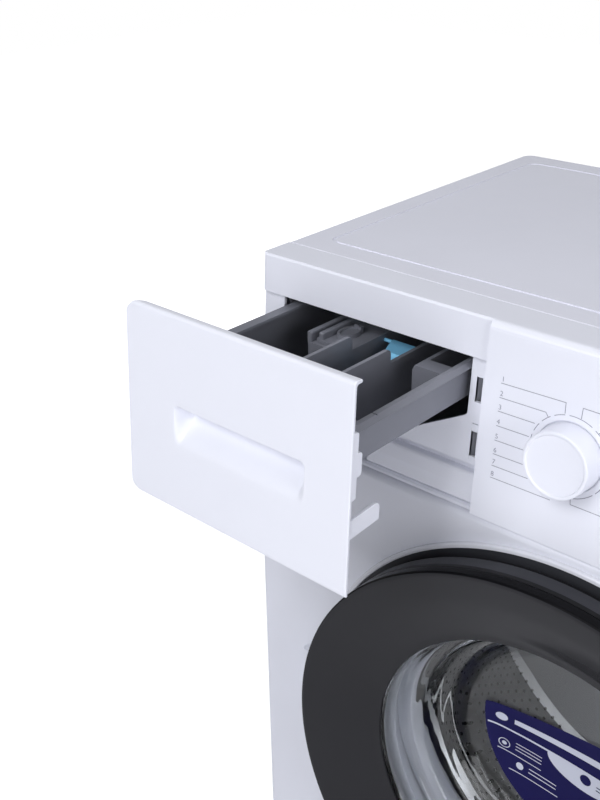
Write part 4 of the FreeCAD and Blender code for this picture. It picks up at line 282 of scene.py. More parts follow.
stainless = finish("stainless_sheet", (0.30, 0.30, 0.31), 0.24, 1400.0, (0.03, 0.00005), 0.03, 0.05, 1.0)
zinc_steel = finish("zinc_plated_steel", (0.36, 0.37, 0.39), 0.50, 700.0, (0.2, 0.0002), 0.05, 0.07, 0.7,
                    blotch=60.0)
cast_aluminium = finish("cast_aluminium", (0.55, 0.55, 0.56), 0.52, 500.0, (0.5, 0.0003), 0.08, 0.1, 1.0)
concrete_grey = finish("counterweight_concrete", (0.33, 0.32, 0.31), 0.9, 420.0, (0.9, 0.0006), 0.22, 0.05,
                       blotch=70.0)
motor_steel = finish("motor_painted_steel", (0.11, 0.115, 0.12), 0.4, 700.0, (0.2, 0.0002), 0.08, 0.1, 0.6)
display_smoke = finish("display_smoked_plastic", (0.010, 0.011, 0.013), 0.12, 300.0, (0.03, 0.0001), 0.05,
                       0.03)

FINISHES = {
    white_steel: ["left_side_panel", "right_side_panel", "front_panel", "door_hinge_bracket",
                  "door_hinge_arm"],
    white_plastic: ["plinth_panel", "filter_cover", "control_fascia", "dial_knob", "start_button",
                    "option_button_left", "option_button_right"],
    drawer_white: ["drawer_front"],
    worktop_board: ["worktop"],
    bezel_white: ["door_bezel"],
    black_gloss: ["door_outer_ring"],
    door_band: ["door_grip"],
    rim_black: ["door_inner_frame"],
    charcoal_tray: ["detergent_tray", "siphon_cap"],
    blue_plastic: ["liquid_flap"],
    grey_plastic: ["transit_caps", "base_frame", "dial_encoder", "dispenser_housing", "tub_front", "tub_rear",
                   "inlet_valve", "pressure_switch", "drum_lifters", "drain_pump", "pump_impeller",
                   "drain_filter", "door_lock", "door_hook"],
    grey_rubber: ["door_gasket"],
    black_rubber: ["cord_gland", "fill_hose", "dispenser_hose", "drive_belt", "sump_hose", "levelling_feet"],
    board_green: ["control_board"],
    display_smoke: ["display_window"],
    stainless: ["wash_heater"],
    zinc_steel: ["back_panel", "back_access_cover", "panel_screws", "cross_rail", "suspension_springs",
                 "damper_tubes", "damper_rods", "motor_pulley", "shaft_bearings"],
    cast_aluminium: ["drum_spider", "drum_pulley"],
    concrete_grey: ["top_counterweight"],
    motor_steel: ["drive_motor"],
}
for recipe, names in FINISHES.items():
    for name in names:
        for holder in frame["nodes"][name].material_slots:
            holder.material = recipe.material


def two_tone(m, edge_y, front_colour):
    """Second colour ahead of a depth: the object's y is compared with the edge."""
    split = m.add("ShaderNodeSeparateXYZ")
    m.join(m.place, "Object", split, "Vector")
    ahead = m.range(split, "Y", 1.0, 0.0, edge_y - 0.00005, edge_y + 0.00005)
    mix = m.add("ShaderNodeMix")
    mix.data_type = "RGBA"
    old = m.skin.inputs["Base Color"].links[0].from_socket
    m.tree.links.new(ahead.outputs["Result"], mix.inputs["Factor"])
    m.tree.links.new(old, mix.inputs[6])
    mix.inputs[7].default_value = (*front_colour, 1)
    m.tree.links.new(mix.outputs[2], m.skin.inputs["Base Color"])


def paint_hole_shade(m, radius, pitch, hole):
    """Round holes in staggered rows on a cylinder about the door axis, painted near-black as the shade seen
    through them rather than cut: angle times radius and depth, divided by the pitch, are folded to one cell,
    and the distance from its middle is compared."""
    def calc(kind, a, b=None):
        node = m.add("ShaderNodeMath")
        node.operation = kind
        for slot, value in ((0, a), (1, b)):
            if value is None:
                continue
            if isinstance(value, float):
                node.inputs[slot].default_value = value
            else:
                m.tree.links.new(value, node.inputs[slot])
        return node.outputs[0]

    split = m.add("ShaderNodeSeparateXYZ")
    m.join(m.place, "Object", split, "Vector")
    x, y, z = (split.outputs[name] for name in "XYZ")
    z = calc("SUBTRACT", z, DOOR_Z)
    row = calc("DIVIDE", y, pitch * 0.87)
    shift = calc("MULTIPLY", calc("FLOORED_MODULO", calc("FLOOR", row), 2.0), 0.5)
    around = calc("ADD", calc("MULTIPLY", calc("ARCTAN2", x, z), radius / pitch), shift)
    u = calc("MULTIPLY", calc("SUBTRACT", calc("FRACT", around), 0.5), pitch)
    v = calc("MULTIPLY", calc("SUBTRACT", calc("FRACT", row), 0.5), pitch * 0.87)
    away = calc("SQRT", calc("ADD", calc("MULTIPLY", u, u), calc("MULTIPLY", v, v)))
    reach = calc("SQRT", calc("ADD", calc("MULTIPLY", x, x), calc("MULTIPLY", z, z)))
    hole_shade_mask = calc("MULTIPLY", calc("LESS_THAN", away, hole / 2),
                     calc("GREATER_THAN", reach, radius - 0.004))
    mix = m.add("ShaderNodeMix")
    mix.data_type = "RGBA"
    old = m.skin.inputs["Base Color"].links[0].from_socket
    m.tree.links.new(hole_shade_mask, mix.inputs["Factor"])
    m.tree.links.new(old, mix.inputs[6])
    # near-black painted shade in the holes
    mix.inputs[7].default_value = (0.004, 0.004, 0.004, 1)
    m.tree.links.new(mix.outputs[2], m.skin.inputs["Base Color"])


BAND_EDGE = 24.0                         # the side band is black ahead of this distance from the steel front
two_tone(door_band, FRONT - BAND_EDGE * MM, (0.003, 0.003, 0.0035))
drum_steel = finish("drum_perforated_steel", (0.34, 0.34, 0.35), 0.32, 1400.0, (0.02, 0.00004), 0.04, 0.04,
                    1.0)
DRUM_R, HOLE_PITCH, HOLE_ACROSS = 0.2325, 0.0115, 0.0036
# The drum's holes are painted on as near-black shade.
paint_hole_shade(drum_steel, DRUM_R, HOLE_PITCH, HOLE_ACROSS)
for holder in frame["nodes"]["wash_drum"].material_slots:
    holder.material = drum_steel.material

glass = Recipe("door_glass_clear")
glass.skin.inputs["Base Color"].default_value = (0.93, 0.95, 0.96, 1)
glass.skin.inputs["Transmission Weight"].default_value = 1.0
glass.skin.inputs["IOR"].default_value = 1.36
glass.join(glass.range(glass.cloud(14.0, 3.0), "Fac", 0.0, 0.03), "Result", glass.skin, "Roughness")
glass.relief(glass.cloud(11.0, 2.0), "Fac", 0.05, 0.004)
for holder in frame["nodes"]["door_glass"].material_slots:
    holder.material = glass.material


# ---------------------------------------------------------------- door
RIM_FROM, GAP_SHADE_EDGE = 217.2, 220.2       # radii where the black rim begins, and where the painted shade of the trim's gap ends and the white trim begins
HINGE_HALF, HINGE_REACH = 20.4, 217.8    # half height of the hinge's gap, and where the trim stops there
TRIM_R, LABEL_R = 220.0, 97.0


def second_paint(piece, radius, outside):
    """Second material on the faces outside, or inside, a radius from the door axis."""
    for face in piece.data.polygons:
        if (math.hypot(face.center.x, face.center.z - DOOR_Z) > radius * MM) == outside:
            face.material_index = 1


def door_ring():
    """Glossy outer ring: one closed section of dish, rim and lip carried round the axis."""
    dish = flowing([(215.4, -37.5), (205.0, -34.3), (190.0, -29.3), (172.0, -22.0), (158.0, -16.1),
                    (150.9, -13.9)], 7)
    back = flowing([(152.2, -12.2), (157.0, -13.6), (173.0, -19.6), (191.0, -26.8), (206.0, -31.4),
                    (214.2, -33.7)], 5)
    rim = rounded([(218.4, -30.0), (218.6, -37.6), (214.0, -37.1)], [0, 1.7, 0], 8, closed=False)[:-1]
    lip = rounded([(150.9, -13.9), (150.2, -12.3), (152.2, -12.0)], [0, 0.5, 0], 3, closed=False)[1:]
    edge = rounded([(215.4, -33.2), (215.3, -28.6), (218.35, -28.6), (218.4, -30.0)], [0, 0, 0.3, 0], 3,
                   closed=False)
    section = np.vstack([rim, dish, lip, back, edge[:-1]])
    ring = make_piece("door_ring", "door", [black_gloss.material, rim_black.material],
                      [turned(section)], 30.0, stands_for=["door_outer_ring"])
    second_paint(ring, RIM_FROM, True)


def door_trim():
    """White trim on the steel: low rounded section carried round the axis, cut back round the hinge. Inside
    the edge radius it is painted dark, standing in for the shade in the gap between the door and the steel.
    """
    half = math.asin(HINGE_HALF / TRIM_R)
    extra = np.array([np.pi - half - 1e-5, np.pi - half + 1e-5, np.pi + half - 1e-5, np.pi + half + 1e-5])
    angles = np.sort(np.concatenate([np.linspace(0, 2 * np.pi, 288, endpoint=False), extra]))
    section = rounded([(224.5, -0.1), (224.5, -3.4), (220.4, -3.4), (220.3, -1.5), (206.0, -1.3),
                       (206.0, -0.1)], [0, 2.4, 1.2, 0, 0, 0], 8)
    profile = np.broadcast_to(section, (len(angles),) + section.shape).copy()
    near = np.abs(angles - np.pi) < half
    limit = HINGE_REACH / np.maximum(0.5, np.abs(np.cos(angles)))
    profile[near, :, 0] = np.minimum(profile[near, :, 0], limit[near, None])
    trim = make_piece("door_trim", "cabinet", [bezel_white.material, trim_gap_painted_shade.material],
                      [turned(profile, angles)], 40.0, stands_for=["door_bezel"])
    # Faces inside the edge radius take the painted shade of the gap between the door and the steel.
    second_paint(trim, GAP_SHADE_EDGE, False)


GLASS_FRONT = [(158.3, -11.4), (151.2, -11.4), (149.4, -9.0), (147.2, -3.0), (144.6, 6.0), (141.3, 15.4),
               (134.0, 18.8), (130.6, 24.0), (127.6, 37.6), (119.0, 42.0), (108.6, 58.4), (91.5, 67.3),
               (70.0, 70.6), (50.0, 72.3), (24.0, 73.6), (0.0, 74.0)]
GLASS_BACK = [(157.6, -8.7), (153.4, -8.6), (151.4, -6.0), (149.9, -2.0), (147.2, 8.0), (144.2, 16.9),
              (135.4, 21.9), (132.9, 27.0), (130.4, 40.6), (119.8, 46.0), (111.0, 61.6), (92.4, 70.4),
              (70.0, 73.8), (50.0, 75.5), (24.0, 76.6), (0.0, 77.0)]


def door_bowl():
    """Stepped glass bowl: flowing front and back lines joined at the rim and carried round the axis."""
    front = flowing(GLASS_FRONT, 5)
    back = flowing(GLASS_BACK, 5)
    section = np.vstack([front, back[::-1]])
    a = np.linspace(0, 2 * np.pi, 180, endpoint=False)
    r = section[None, :, 0] * MM
    y = np.broadcast_to(FRONT + section[None, :, 1] * MM, (len(a), len(section)))
    points = np.stack([r * np.cos(a)[:, None], y, DOOR_Z + r * np.sin(a)[:, None]], -1)
    left = len(front)
    faces = quads(len(a), len(section), True, True)
    centre = (faces % len(section) == left - 1).any(1) & (faces % len(section) == left).any(1)
    bowl = make_piece("door_bowl", "door", glass.material, [(points, faces[~centre])], 45.0,
                      stands_for=["door_glass"])


def bowl_depth(r):
    """Depth of the bowl's front surface at a radius, read from its flowing line."""
    line = flowing(GLASS_FRONT, 5)[::-1]
    return np.interp(r, line[:, 0], line[:, 1])


def bowl_sheet(x, z, lift):
    """Points laid on the bowl: x and z as given, y from the bowl's depth at that radius, less the lift."""
    y = FRONT + (bowl_depth(np.hypot(x, z)) - lift) * MM
    return np.stack([x * MM, y, DOOR_Z + z * MM], -1)


def glass_label():
    """Half-round label on the bowl with a bar, a half disc below it and two small motifs. A mark at
    (x, level) lies at z = level + x slope, where the slope falls from the label's top edge to its foot."""
    def laid(x, level, lift=0.36):
        slope = np.interp(level, [-66.0, -50.0, -23.5, 9.2], [-0.11, -0.12, -0.072, 0.05])
        return bowl_sheet(x, level + x * slope, lift)

    x, t = np.meshgrid(np.linspace(0.2 - LABEL_R, LABEL_R - 0.2, 90), np.linspace(0, 1, 40), indexing="ij")
    foot = -np.sqrt(LABEL_R ** 2 - x ** 2)
    top = np.maximum(9.2 + 0.05 * x, foot)
    base = bowl_sheet(x, top + (foot - top) * t, 0.25)
    label = make_piece("glass_label", "door", label_navy.material, [(base, quads(90, 40)[:, ::-1])], 60.0,
                       outward=False)

    def bar(x0, x1, low, high, lift=0.36):
        u, v = np.meshgrid(np.linspace(x0, x1, 40), np.linspace(low, high, 3), indexing="ij")
        return laid(u, v, lift), quads(40, 3)

    def disc(x0, level, r0, r1, start=0.0, end=2 * np.pi, squash=1.0, lift=0.36):
        rr, aa = np.meshgrid(np.linspace(r0, r1, 6), np.linspace(start, end, 60), indexing="ij")
        return laid(x0 + rr * np.cos(aa), level + squash * rr * np.sin(aa), lift), quads(6, 60)

    marks = [bar(-93.5, 93.5, -24.6, -22.4), disc(-2.0, -24.6, 0.0, 36.0, -np.pi, 0.0, 0.52),
             bar(-82.4, -41.5, -50.8, -50.0), bar(-69.6, -23.4, -66.3, -65.5)]
    marks += [disc(-77.0, -42.5, 4.6, 5.4), disc(-77.0, -42.5, 0.0, 2.2), disc(-60.5, -58.6, 0.0, 3.4)]
    marks += [bar(-66.5, -42.0, level, level + 0.9) for level in (-36.4, -40.2, -44.0)]
    marks += [bar(-52.0, -26.0, level, level + 0.9) for level in (-56.4, -60.2)]
    marks += [disc(-82.0, -9.0, 0.0, 5.6), bar(-70.0, 84.0, -12.0, -5.5)]
    pale = make_piece("label_marks", "door", label_pale.material, marks, 60.0, outward=False)
    dark = [disc(-2.0, -31.0, 0.0, 5.0, lift=0.46), bar(8.0, 24.0, -31.6, -30.6, 0.46),
            bar(8.0, 20.0, -34.8, -33.8, 0.46)]
    inset = make_piece("label_inset", "door", label_navy.material, dark, 60.0, outward=False)


def gasket():
    """Rubber bellows: a flowing line, set out along its normal by half the wall on both sides, and
    carried round the axis as a closed section."""
    line = flowing([(150.6, 6.6), (161.5, 7.6), (172.0, 6.0), (176.6, 9.4), (173.0, 13.6), (166.0, 9.6),
                    (161.0, 11.0), (159.2, 18.0), (163.5, 25.4), (172.4, 29.6), (175.4, 35.6),
                    (170.4, 41.6), (163.0, 45.0), (162.2, 57.0)], 6)
    ahead = np.gradient(line, axis=0)
    normal = np.stack([-ahead[:, 1], ahead[:, 0]], -1)
    normal /= np.linalg.norm(normal, axis=1)[:, None]
    wall = np.full(len(line), 1.2)
    wall[:3] = (0.3, 0.8, 1.1)
    section = np.vstack([line + normal * wall[:, None], (line - normal * wall[:, None])[::-1]])
    skirt = make_piece("door_bellows", "cabinet", grey_rubber.material, [turned(section)], 50.0,
                       stands_for=["door_gasket"])


# ---------------------------------------------------------------- drawer front
DRAWER_LEFT, DRAWER_RIGHT = (corner.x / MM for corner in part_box("drawer_front"))
DRAWER_FOOT = 1.2
DRAWER_OUT = (on_face(0, DRAWER_FOOT, 0)[1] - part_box("drawer_front")[0].y) / MM
DRAWER_TOP = (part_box("drawer_front")[1].z - SEAM) / MM / math.cos(LEAN)
CORNER, BEAD, PLATE = 9.5, 7.2, 2.4      # corner radius, depth of the bead, thickness of the plate
BEAD_FROM, BEAD_GROWS = 8.0, 3.0         # the bead starts this far from the left edge, over this length
GRIP = (-248.6, -126.6, 52.6, 82.4)      # scoop: left, right, foot and top edge
GRIP_DEEP, GRIP_WALL, GRIP_CORNER = 17.5, 7.0, 5.0   # its depth, side walls and corner radius
EDGE_ROUND = 0.7
LUG_X = -93.2
LOW_SLOT, HIGH_SLOT = (36.0, 65.0), (81.0, 100.0)    # foot and top of the slots in the recess's wall


def spaced(points, count):
    """The same line with evenly spaced points."""
    p = np.asarray(points, float)
    run = np.concatenate([[0.0], np.cumsum(np.linalg.norm(np.diff(p, axis=0), axis=1))])
    t = np.linspace(0, run[-1], count)
    return np.stack([np.interp(t, run, p[:, 0]), np.interp(t, run, p[:, 1])], -1)


def ease(t):
    """3 t^2 - 2 t^3 between 0 and 1."""
    t = np.clip(t, 0.0, 1.0)
    return t * t * (3 - 2 * t)


def drawer_rows():
    """Front and back line of the drawer front, as (depth, up, share of the scoop's depth). From the
    scoop's foot to its top, t from 0 to 1, the share is (1 - cos(pi t^0.86)) / 2, then the roof closes it."""
    foot, top = GRIP[2], GRIP[3]
    t = np.linspace(0, 1, 34)
    sink = (1 - np.cos(np.pi * t ** 0.86)) / 2
    roof = np.array([(top + 0.25, 0.94), (top + 0.42, 0.6), (top + 0.5, 0.2), (top + 0.75, 0.05),
                     (top + 1.3, 0.01)])
    low = np.linspace(5.0, foot - 1.5, 14)
    high = np.linspace(top + 3.6, DRAWER_TOP - 9.0, 14)
    edge = [DRAWER_FOOT, DRAWER_FOOT + 0.2, DRAWER_FOOT + 0.7]
    front_up = np.concatenate([edge, low, foot + (top - foot) * t, roof[:, 0], high])
    below = len(edge) + len(low)
    share = np.concatenate([np.zeros(below), sink, roof[:, 1], np.zeros(len(high))])
    front_in = np.zeros(len(front_up))
    front_in[:2] = (0.7, 0.2)
    back_up = front_up.copy()
    back_up[below + len(t):below + len(t) + len(roof)] += 1.7
    front = np.stack([front_in, front_up, share], -1)
    back = np.stack([PLATE - front_in * 0.6, back_up, share], -1)
    roll = rounded([(0.0, DRAWER_TOP - 8.0), (0.0, DRAWER_TOP), (BEAD, DRAWER_TOP - 0.1),
                    (BEAD, DRAWER_TOP - 1.3)], [0, 3.0, 1.2, 0], 8, closed=False)
    under = rounded([(PLATE, DRAWER_TOP - 8.0), (PLATE, DRAWER_TOP - 2.6), (BEAD, DRAWER_TOP - 2.55),
                     (BEAD, DRAWER_TOP - 1.3)], [0, 2.6, 1.2, 0], 8, closed=False)
    count = 26
    return [np.vstack([line, np.column_stack([spaced(bead, count), np.zeros(count)])])
            for line, bead in ((front, roll), (back, under))]


def drawer_face():
    """Drawer front: front and back line carried along x. The scoop's depth fades in over the side walls,
    its height narrows towards them, both outer corners on the left are round, and the bead ends short of
    the left corner, where the strip's cheek stands when the drawer is shut."""
    ends = np.array([0.0, 0.12, 0.4, 0.9, 1.6, 2.6, 3.8, 5.2, 7.0, 9.5])
    x = np.concatenate([DRAWER_LEFT + ends, np.linspace(DRAWER_LEFT + 13, GRIP[0] - 4, 8),
                        np.linspace(GRIP[0] - 2, GRIP[0] + 12, 29),
                        np.linspace(GRIP[0] + 15, GRIP[1] - 15, 26),
                        np.linspace(GRIP[1] - 12, GRIP[1] + 2, 29),
                        np.linspace(GRIP[1] + 5, DRAWER_RIGHT - 3.5, 8),
                        DRAWER_RIGHT - ends[4::-1]])[:, None]
    from_left = np.clip(x - DRAWER_LEFT, 0, CORNER)
    drop = CORNER - np.sqrt(np.maximum(0.0, CORNER ** 2 - (CORNER - from_left) ** 2))
    edge = np.minimum(x - DRAWER_LEFT, DRAWER_RIGHT - x)
    thin = 0.30 * (1 - np.sqrt(np.clip(1 - (1 - np.clip(edge / EDGE_ROUND, 0, 1)) ** 2, 0, 1)))
    middle, half = (GRIP[2] + GRIP[3]) / 2, (GRIP[3] - GRIP[2]) / 2
    sides = []
    for k, line in enumerate(drawer_rows()):
        depth, up, share = (line[None, :, i] for i in range(3))
        bead = np.where(share == 0, np.maximum(depth - PLATE, 0), 0)
        depth = depth - bead * (1 - ease((x - DRAWER_LEFT - BEAD_FROM) / BEAD_GROWS))
        wall = ease((x - GRIP[0] + 1.6 * k) / GRIP_WALL) * ease((GRIP[1] + 1.6 * k - x) / GRIP_WALL)
        inner = np.clip(np.minimum(x - GRIP[0], GRIP[1] - x), 0, GRIP_CORNER)
        pinch = GRIP_CORNER - np.sqrt(GRIP_CORNER ** 2 - (GRIP_CORNER - inner) ** 2)
        near = np.clip(1 - np.abs(np.abs(up - middle) - half) / 14.0, 0, 1)
        squeeze = np.sign(up - middle) * pinch * near * np.where(share > 0, 1.0, 0.6)
        bottom = drop * np.clip(1 - (up - DRAWER_FOOT) / 16.0, 0, 1)
        top = drop * np.clip(1 - (DRAWER_TOP - up) / 16.0, 0, 1)
        sides.append((depth + GRIP_DEEP * share * wall, up + bottom - top - squeeze * 0.6))
    (fd, fu), (bd, bu) = sides
    front_d, front_u = fd + (bd - fd) * thin, fu + (bu - fu) * thin
    back_d, back_u = bd - (bd - fd) * thin, bu - (bu - fu) * thin
    depth = np.concatenate([front_d, back_d[:, ::-1]], 1)
    up = np.concatenate([front_u, back_u[:, ::-1]], 1)
    start = GRIP[1] + 8.0
    inward = np.clip((x - start) / (DRAWER_RIGHT - start), 0, 1) * (2.4 + 2.0 * up / DRAWER_TOP)
    points = on_face(x - inward, up, depth)
    points[..., 1] -= DRAWER_OUT * MM
    rows, cols = up.shape
    n = cols // 2
    i = np.arange(n - 1)
    cap = np.stack([i, i + 1, cols - 2 - i, cols - 1 - i], -1)
    faces = np.concatenate([quads(rows, cols, False, True), cap, cap[:, ::-1] + (rows - 1) * cols])
    plate = make_piece("drawer_face", "drawer", drawer_white.material, [(points, faces)], 42.0,
                       stands_for=["drawer_front"])


def plank(outline, x0, x1, out=None):
    """Closed (depth, up) outline drawn out along x, with flat ends. It stands out with the drawer
    unless another distance is given."""
    p = np.asarray(outline, float)
    points = np.stack([on_face(x, p[:, 1], p[:, 0]) for x in (x0, x1)])
    points[..., 1] -= (DRAWER_OUT if out is None else out) * MM
    n = len(p)
    faces = quads(2, n, False, True).tolist() + [list(range(n)), list(range(2 * n - 1, n - 1, -1))]
    return points, faces


def drawer_clips():
    """Clip tab with its nose, guide lug and two stiffening ribs behind the drawer front."""
    tab = rounded([(2.2, 68.0), (7.7, 69.0), (7.7, 115.0), (2.2, 115.0)], [0, 0.6, 1.8, 0], 5)
    nose = rounded([(6.0, 82.6), (13.8, 82.6), (13.8, 99.4), (6.0, 99.4)], [0, 2.5, 2.5, 0], 5)
    lug = rounded([(2.2, 39.4), (34.8, 43.4), (34.8, 57.0), (2.2, 53.2)], [0, 0.8, 4.5, 0], 7)
    parts = [plank(tab, LUG_X, LUG_X + 2.4), plank(nose, LUG_X - 1.0, LUG_X + 1.0),
             plank(lug, LUG_X - 1.3, LUG_X + 1.3)]
    rib = [(2.2, 84.0), (5.4, 85.0), (5.4, 113.0), (2.2, 114.0)]
    parts += [plank(rib, x, x + 1.8) for x in (-262.0, -120.0)]
    clips = make_piece("drawer_clips", "drawer", drawer_white.material, parts, 40.0, bevel=0.00035)


def slot_lips():
    """Left cheeks behind the two slots of the drawer recess, and lips that shorten the lower slot."""
    def block(near, far, foot, top, x0, x1):
        return plank([(near, foot), (far, foot), (far, top), (near, top)], LUG_X + x0, LUG_X + x1, 0.0)

    parts = [block(8.3, 20.0, foot, top, -3.7, -2.5) for foot, top in (LOW_SLOT, HIGH_SLOT)]
    parts += [block(8.05, 10.4, foot, top, -2.4, 2.4) for foot, top in ((36.1, 39.8), (59.3, 64.9))]
    lips = make_piece("slot_lips", "cabinet", drawer_white.material, parts, 40.0)


# ---------------------------------------------------------------- dial
KNOB_X, KNOB_UP, KNOB_R, KNOB_H = -16.4, 70.3, 24.0, 19.0
RING_R, LINE_WIDE, PRINT_IN = 28.9, 0.5, -0.06       # printed ring, line width, depth of the print


def face_disc(profile, x, up, steps=144):
    """Profile (radius, depth) carried round an axis at right angles to the leaning face."""
    a = np.linspace(0, 2 * np.pi, steps, endpoint=False)[:, None]
    p = np.asarray(profile, float)
    points = on_face(x + p[None, :, 0] * np.cos(a), up + p[None, :, 0] * np.sin(a), p[None, :, 1] + 0 * a)
    return points.reshape(-1, 3), quads(steps, len(p), True, False)


def knob():
    """Dial: dished face inside a rolled rim, faintly conical side, open skirt behind."""
    face = flowing([(0.0, -KNOB_H + 1.25), (12.0, -KNOB_H + 1.2), (KNOB_R - 4.4, -KNOB_H + 1.0)], 6)
    rim = rounded([(KNOB_R - 4.4, -KNOB_H + 1.0), (KNOB_R - 3.4, -KNOB_H + 1.0), (KNOB_R - 2.7, -KNOB_H),
                   (KNOB_R - 0.5, -KNOB_H), (KNOB_R, 0.6), (KNOB_R - 2.4, 0.7), (KNOB_R - 3.2, -KNOB_H + 4.0),
                   (3.0, -KNOB_H + 4.0)], [0, 0.5, 0.6, 1.5, 0.3, 0.3, 0.4, 0], 6, closed=False)
    dial = make_piece("dial_grip", "dial", white_plastic.material,
                      [face_disc(np.vstack([face[:-1], rim, [(0.0, -KNOB_H + 4.0)]]), KNOB_X, KNOB_UP)], 50.0)
    return dial


def dial_print():
    """Printed ring with leader lines: ribbons of even width just above the face."""
    rings = []
    for start, end in ((-40, 15), (22, 57), (63, 97), (103, 119), (125, 140), (146, 160),
                       (166, 200), (240, 315)):
        a = np.radians(np.linspace(start, end, 24))
        line = ribbon(np.stack([KNOB_X + RING_R * np.cos(a), KNOB_UP + RING_R * np.sin(a)], -1), LINE_WIDE)
        rings.append((on_face(line[..., 0], line[..., 1], PRINT_IN), quads(len(a), 2)))
    ups = [105.6, 95.1, 85.0, 74.2, 63.2, 52.7, 43.8, 34.5]
    far = -72.0
    left = [[(far, ups[0]), (-23.5, 106.9), (-23.2, 99.2)], [(far, ups[1]), (-36.6, 95.8), (-34.6, 92.9)],
            [(far, ups[2]), (-43.5, 85.4)], [(far, ups[3]), (-46.6, 74.6)], [(far, ups[4]), (-46.0, 63.6)],
            [(far, ups[5]), (-42.0, 53.1)], [(far, ups[6]), (-35.0, 44.2)], [(far, ups[7]), (-25.0, 34.9)]]
    right = [[(-11.5, 99.2), (-11.3, 106.9), (38.0, 106.9)], [(1.6, 92.9), (3.6, 95.8), (38.0, 95.8)],
             [(10.6, 85.4), (38.0, 85.4)], [(13.6, 74.6), (38.0, 74.6)], [(13.2, 63.6), (38.0, 63.6)],
             [(9.2, 53.1), (38.0, 53.1)], [(-10.7, 41.0), (-10.2, 37.4), (38.0, 37.4)]]
    for path in left + right:
        line = ribbon(path, LINE_WIDE)
        rings.append((on_face(line[..., 0], line[..., 1], PRINT_IN), quads(len(path), 2)))
    piece = make_piece("dial_lines", "cabinet", printed_grey.material, rings, 60.0, outward=False)
    marks = [(str(i + 1), far, up + 1.5) for i, up in enumerate(ups)]
    marks += [(str(i + 1 + len(left)), 33.0, path[-1][1] + 1.5) for i, path in enumerate(right)]
    printed("dial_numbers", marks, 5.2)


def printed(name, marks, size):
    """Plain numbers laid flat on the leaning face, x along the face and y up its slope."""
    parts = []
    for text, x, up in marks:
        curve = bpy.data.curves.new("number", "FONT")
        curve.body = text
        curve.size = size
        curve.resolution_u = 3
        holder = bpy.data.objects.new("number", curve)
        bpy.context.scene.collection.objects.link(holder)
        bpy.context.view_layer.update()
        flat = bpy.data.meshes.new_from_object(holder.evaluated_get(bpy.context.evaluated_depsgraph_get()))
        co = np.zeros(len(flat.vertices) * 3)
        flat.vertices.foreach_get("co", co)
        co = co.reshape(-1, 3)
        parts.append((on_face(x + co[:, 0], up + co[:, 1], PRINT_IN),
                      [list(f.vertices) for f in flat.polygons]))
        bpy.data.objects.remove(holder)
        bpy.data.curves.remove(curve)
        bpy.data.meshes.remove(flat)
    piece = make_piece(name, "cabinet", printed_grey.material, parts, 60.0, outward=False)


door_ring()
door_trim()
door_bowl()
glass_label()
gasket()
drawer_face()
drawer_clips()
slot_lips()
dial_knob = knob()
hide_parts("dial_knob")
dial_print()


# ---------------------------------------------------------------- studio
GLOW_NEAR, GLOW_FAR = (0.8, 0.62), (2.2, 1.0)    # distance from the middle and strength of the glow there
SKY_LIGHT = 0.04
MIRROR_SHARE = 0.2


def floor():
    """Pale floor: takes the shadow near the machine, and glows up to white farther out, where no lamp
    reaches. The glow rises evenly between its two distances and is level inside and outside them."""
    mesh = bpy.data.meshes.new("studio_floor")
    s = 6.0
    mesh.from_pydata([(-s, -s, 0), (s, -s, 0), (s, s, 0), (-s, s, 0)], [], [(0, 1, 2, 3)])
    piece = bpy.data.objects.new("studio_floor", mesh)
    bpy.context.scene.collection.objects.link(piece)
    paint = bpy.data.materials.new("floor_paint")
    paint.use_nodes = True
    tree = paint.node_tree
    tree.nodes.clear()
    out = tree.nodes.new("ShaderNodeOutputMaterial")
    chalk = tree.nodes.new("ShaderNodeBsdfDiffuse")
    chalk.inputs["Color"].default_value = (0.78, 0.78, 0.80, 1)
    glow = tree.nodes.new("ShaderNodeEmission")
    glow.inputs["Color"].default_value = (1, 1, 1, 1)
    place = tree.nodes.new("ShaderNodeTexCoord")
    away = tree.nodes.new("ShaderNodeVectorMath")
    away.operation = "LENGTH"
    tree.links.new(place.outputs["Object"], away.inputs[0])
    rise = tree.nodes.new("ShaderNodeMapRange")
    for name, value in zip(("From Min", "To Min", "From Max", "To Max"), GLOW_NEAR + GLOW_FAR):
        rise.inputs[name].default_value = value
    tree.links.new(away.outputs["Value"], rise.inputs["Value"])
    seen = tree.nodes.new("ShaderNodeMath")
    seen.operation = "MULTIPLY"
    tree.links.new(rise.outputs["Result"], seen.inputs[0])
    tree.links.new(seen_by_eye(tree), seen.inputs[1])
    tree.links.new(seen.outputs[0], glow.inputs["Strength"])
    both = tree.nodes.new("ShaderNodeAddShader")
    tree.links.new(chalk.outputs[0], both.inputs[0])
    tree.links.new(glow.outputs[0], both.inputs[1])
    tree.links.new(both.outputs[0], out.inputs["Surface"])
    mesh.materials.append(paint)


def seen_by_eye(tree):
    """One where a ray comes from the eye or through glass, a share of it in mirrors, else nothing."""
    path = tree.nodes.new("ShaderNodeLightPath")
    total = path.outputs["Is Camera Ray"]
    for name, share in (("Is Glossy Ray", MIRROR_SHARE), ("Is Transmission Ray", 1.0)):
        part = tree.nodes.new("ShaderNodeMath")
        part.operation = "MULTIPLY"
        part.inputs[1].default_value = share
        tree.links.new(path.outputs[name], part.inputs[0])
        most = tree.nodes.new("ShaderNodeMath")
        most.operation = "MAXIMUM"
        tree.links.new(total, most.inputs[0])
        tree.links.new(part.outputs[0], most.inputs[1])
        total = most.outputs[0]
    return total


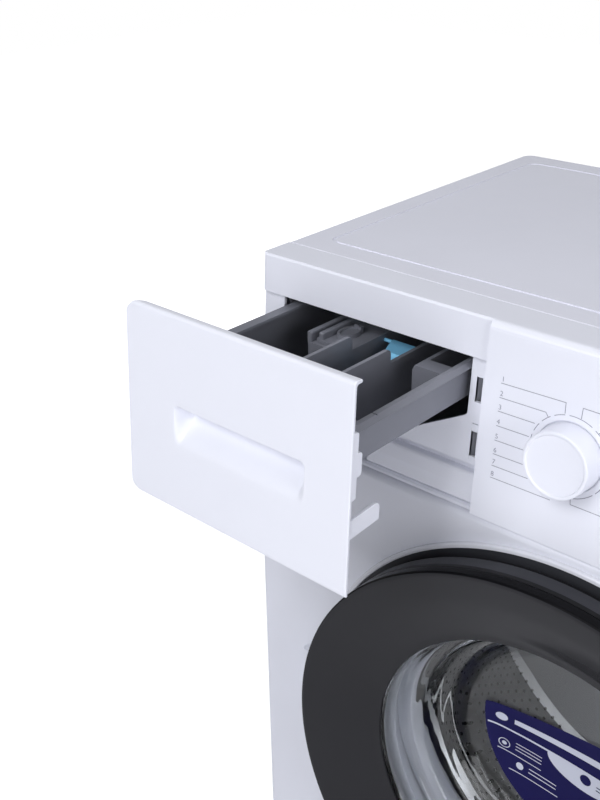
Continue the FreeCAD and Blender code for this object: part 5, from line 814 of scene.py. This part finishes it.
def sky():
    """White to the eye and through glass, dim in mirrors, and a faint even light elsewhere."""
    world = bpy.data.worlds.new("studio")
    bpy.context.scene.world = world
    world.use_nodes = True
    tree = world.node_tree
    tree.nodes.clear()
    out = tree.nodes.new("ShaderNodeOutputWorld")
    light = tree.nodes.new("ShaderNodeBackground")
    light.inputs["Color"].default_value = (0.96, 0.97, 1.0, 1)
    light.inputs["Strength"].default_value = SKY_LIGHT
    white = tree.nodes.new("ShaderNodeBackground")
    white.inputs["Color"].default_value = (1, 1, 1, 1)
    white.inputs["Strength"].default_value = 1.0
    mix = tree.nodes.new("ShaderNodeMixShader")
    tree.links.new(seen_by_eye(tree), mix.inputs[0])
    tree.links.new(light.outputs[0], mix.inputs[1])
    tree.links.new(white.outputs[0], mix.inputs[2])
    tree.links.new(mix.outputs[0], out.inputs["Surface"])


def softbox(name, spot, aim, size, power):
    """Large soft lamp turned towards a point."""
    lamp = bpy.data.lights.new(name, "AREA")
    lamp.shape = "RECTANGLE"
    lamp.size, lamp.size_y = size
    lamp.energy = power
    lamp.color = (0.955, 0.968, 1.0)
    holder = bpy.data.objects.new(name, lamp)
    bpy.context.scene.collection.objects.link(holder)
    holder.location = spot
    way = np.array(aim) - np.array(spot)
    flat = math.hypot(way[0], way[1])
    holder.rotation_euler = (math.pi / 2 + math.atan2(way[2], flat), 0, math.atan2(-way[0], way[1]))


floor()
sky()
softbox("key_softbox", (-0.3, -2.3, 2.5), (0.0, 0.0, 0.7), (1.2, 1.2), 43.5)
softbox("side_softbox", (2.5, -0.9, 1.3), (-0.1, -0.1, 0.75), (1.6, 1.8), 32.0)
softbox("front_softbox", (0.7, -2.8, 1.5), (0.1, 0.0, 0.7), (1.6, 1.6), 21.0)
softbox("left_softbox", (-2.6, 0.5, 0.9), (-0.3, 0.1, 0.5), (1.6, 1.2), 16.0)
softbox("top_softbox", (0.2, 0.3, 2.9), (0.0, 0.1, 0.8), (2.4, 2.4), 21.0)
softbox("back_softbox", (-1.2, 2.6, 0.6), (0.0, 0.3, 0.5), (1.8, 0.9), 10.0)

camera = bpy.data.cameras.new("camera")
camera.lens = 48.067
camera.sensor_width = 36.0
camera.clip_start = 0.01
viewer = bpy.data.objects.new("camera", camera)
viewer.location = (0.260684, -0.699898, 1.125350)
viewer.rotation_euler = (1.0999394, 0.0140416, 0.7325996)
bpy.context.scene.collection.objects.link(viewer)
bpy.context.scene.camera = viewer
bpy.context.scene.view_settings.view_transform = "Standard"
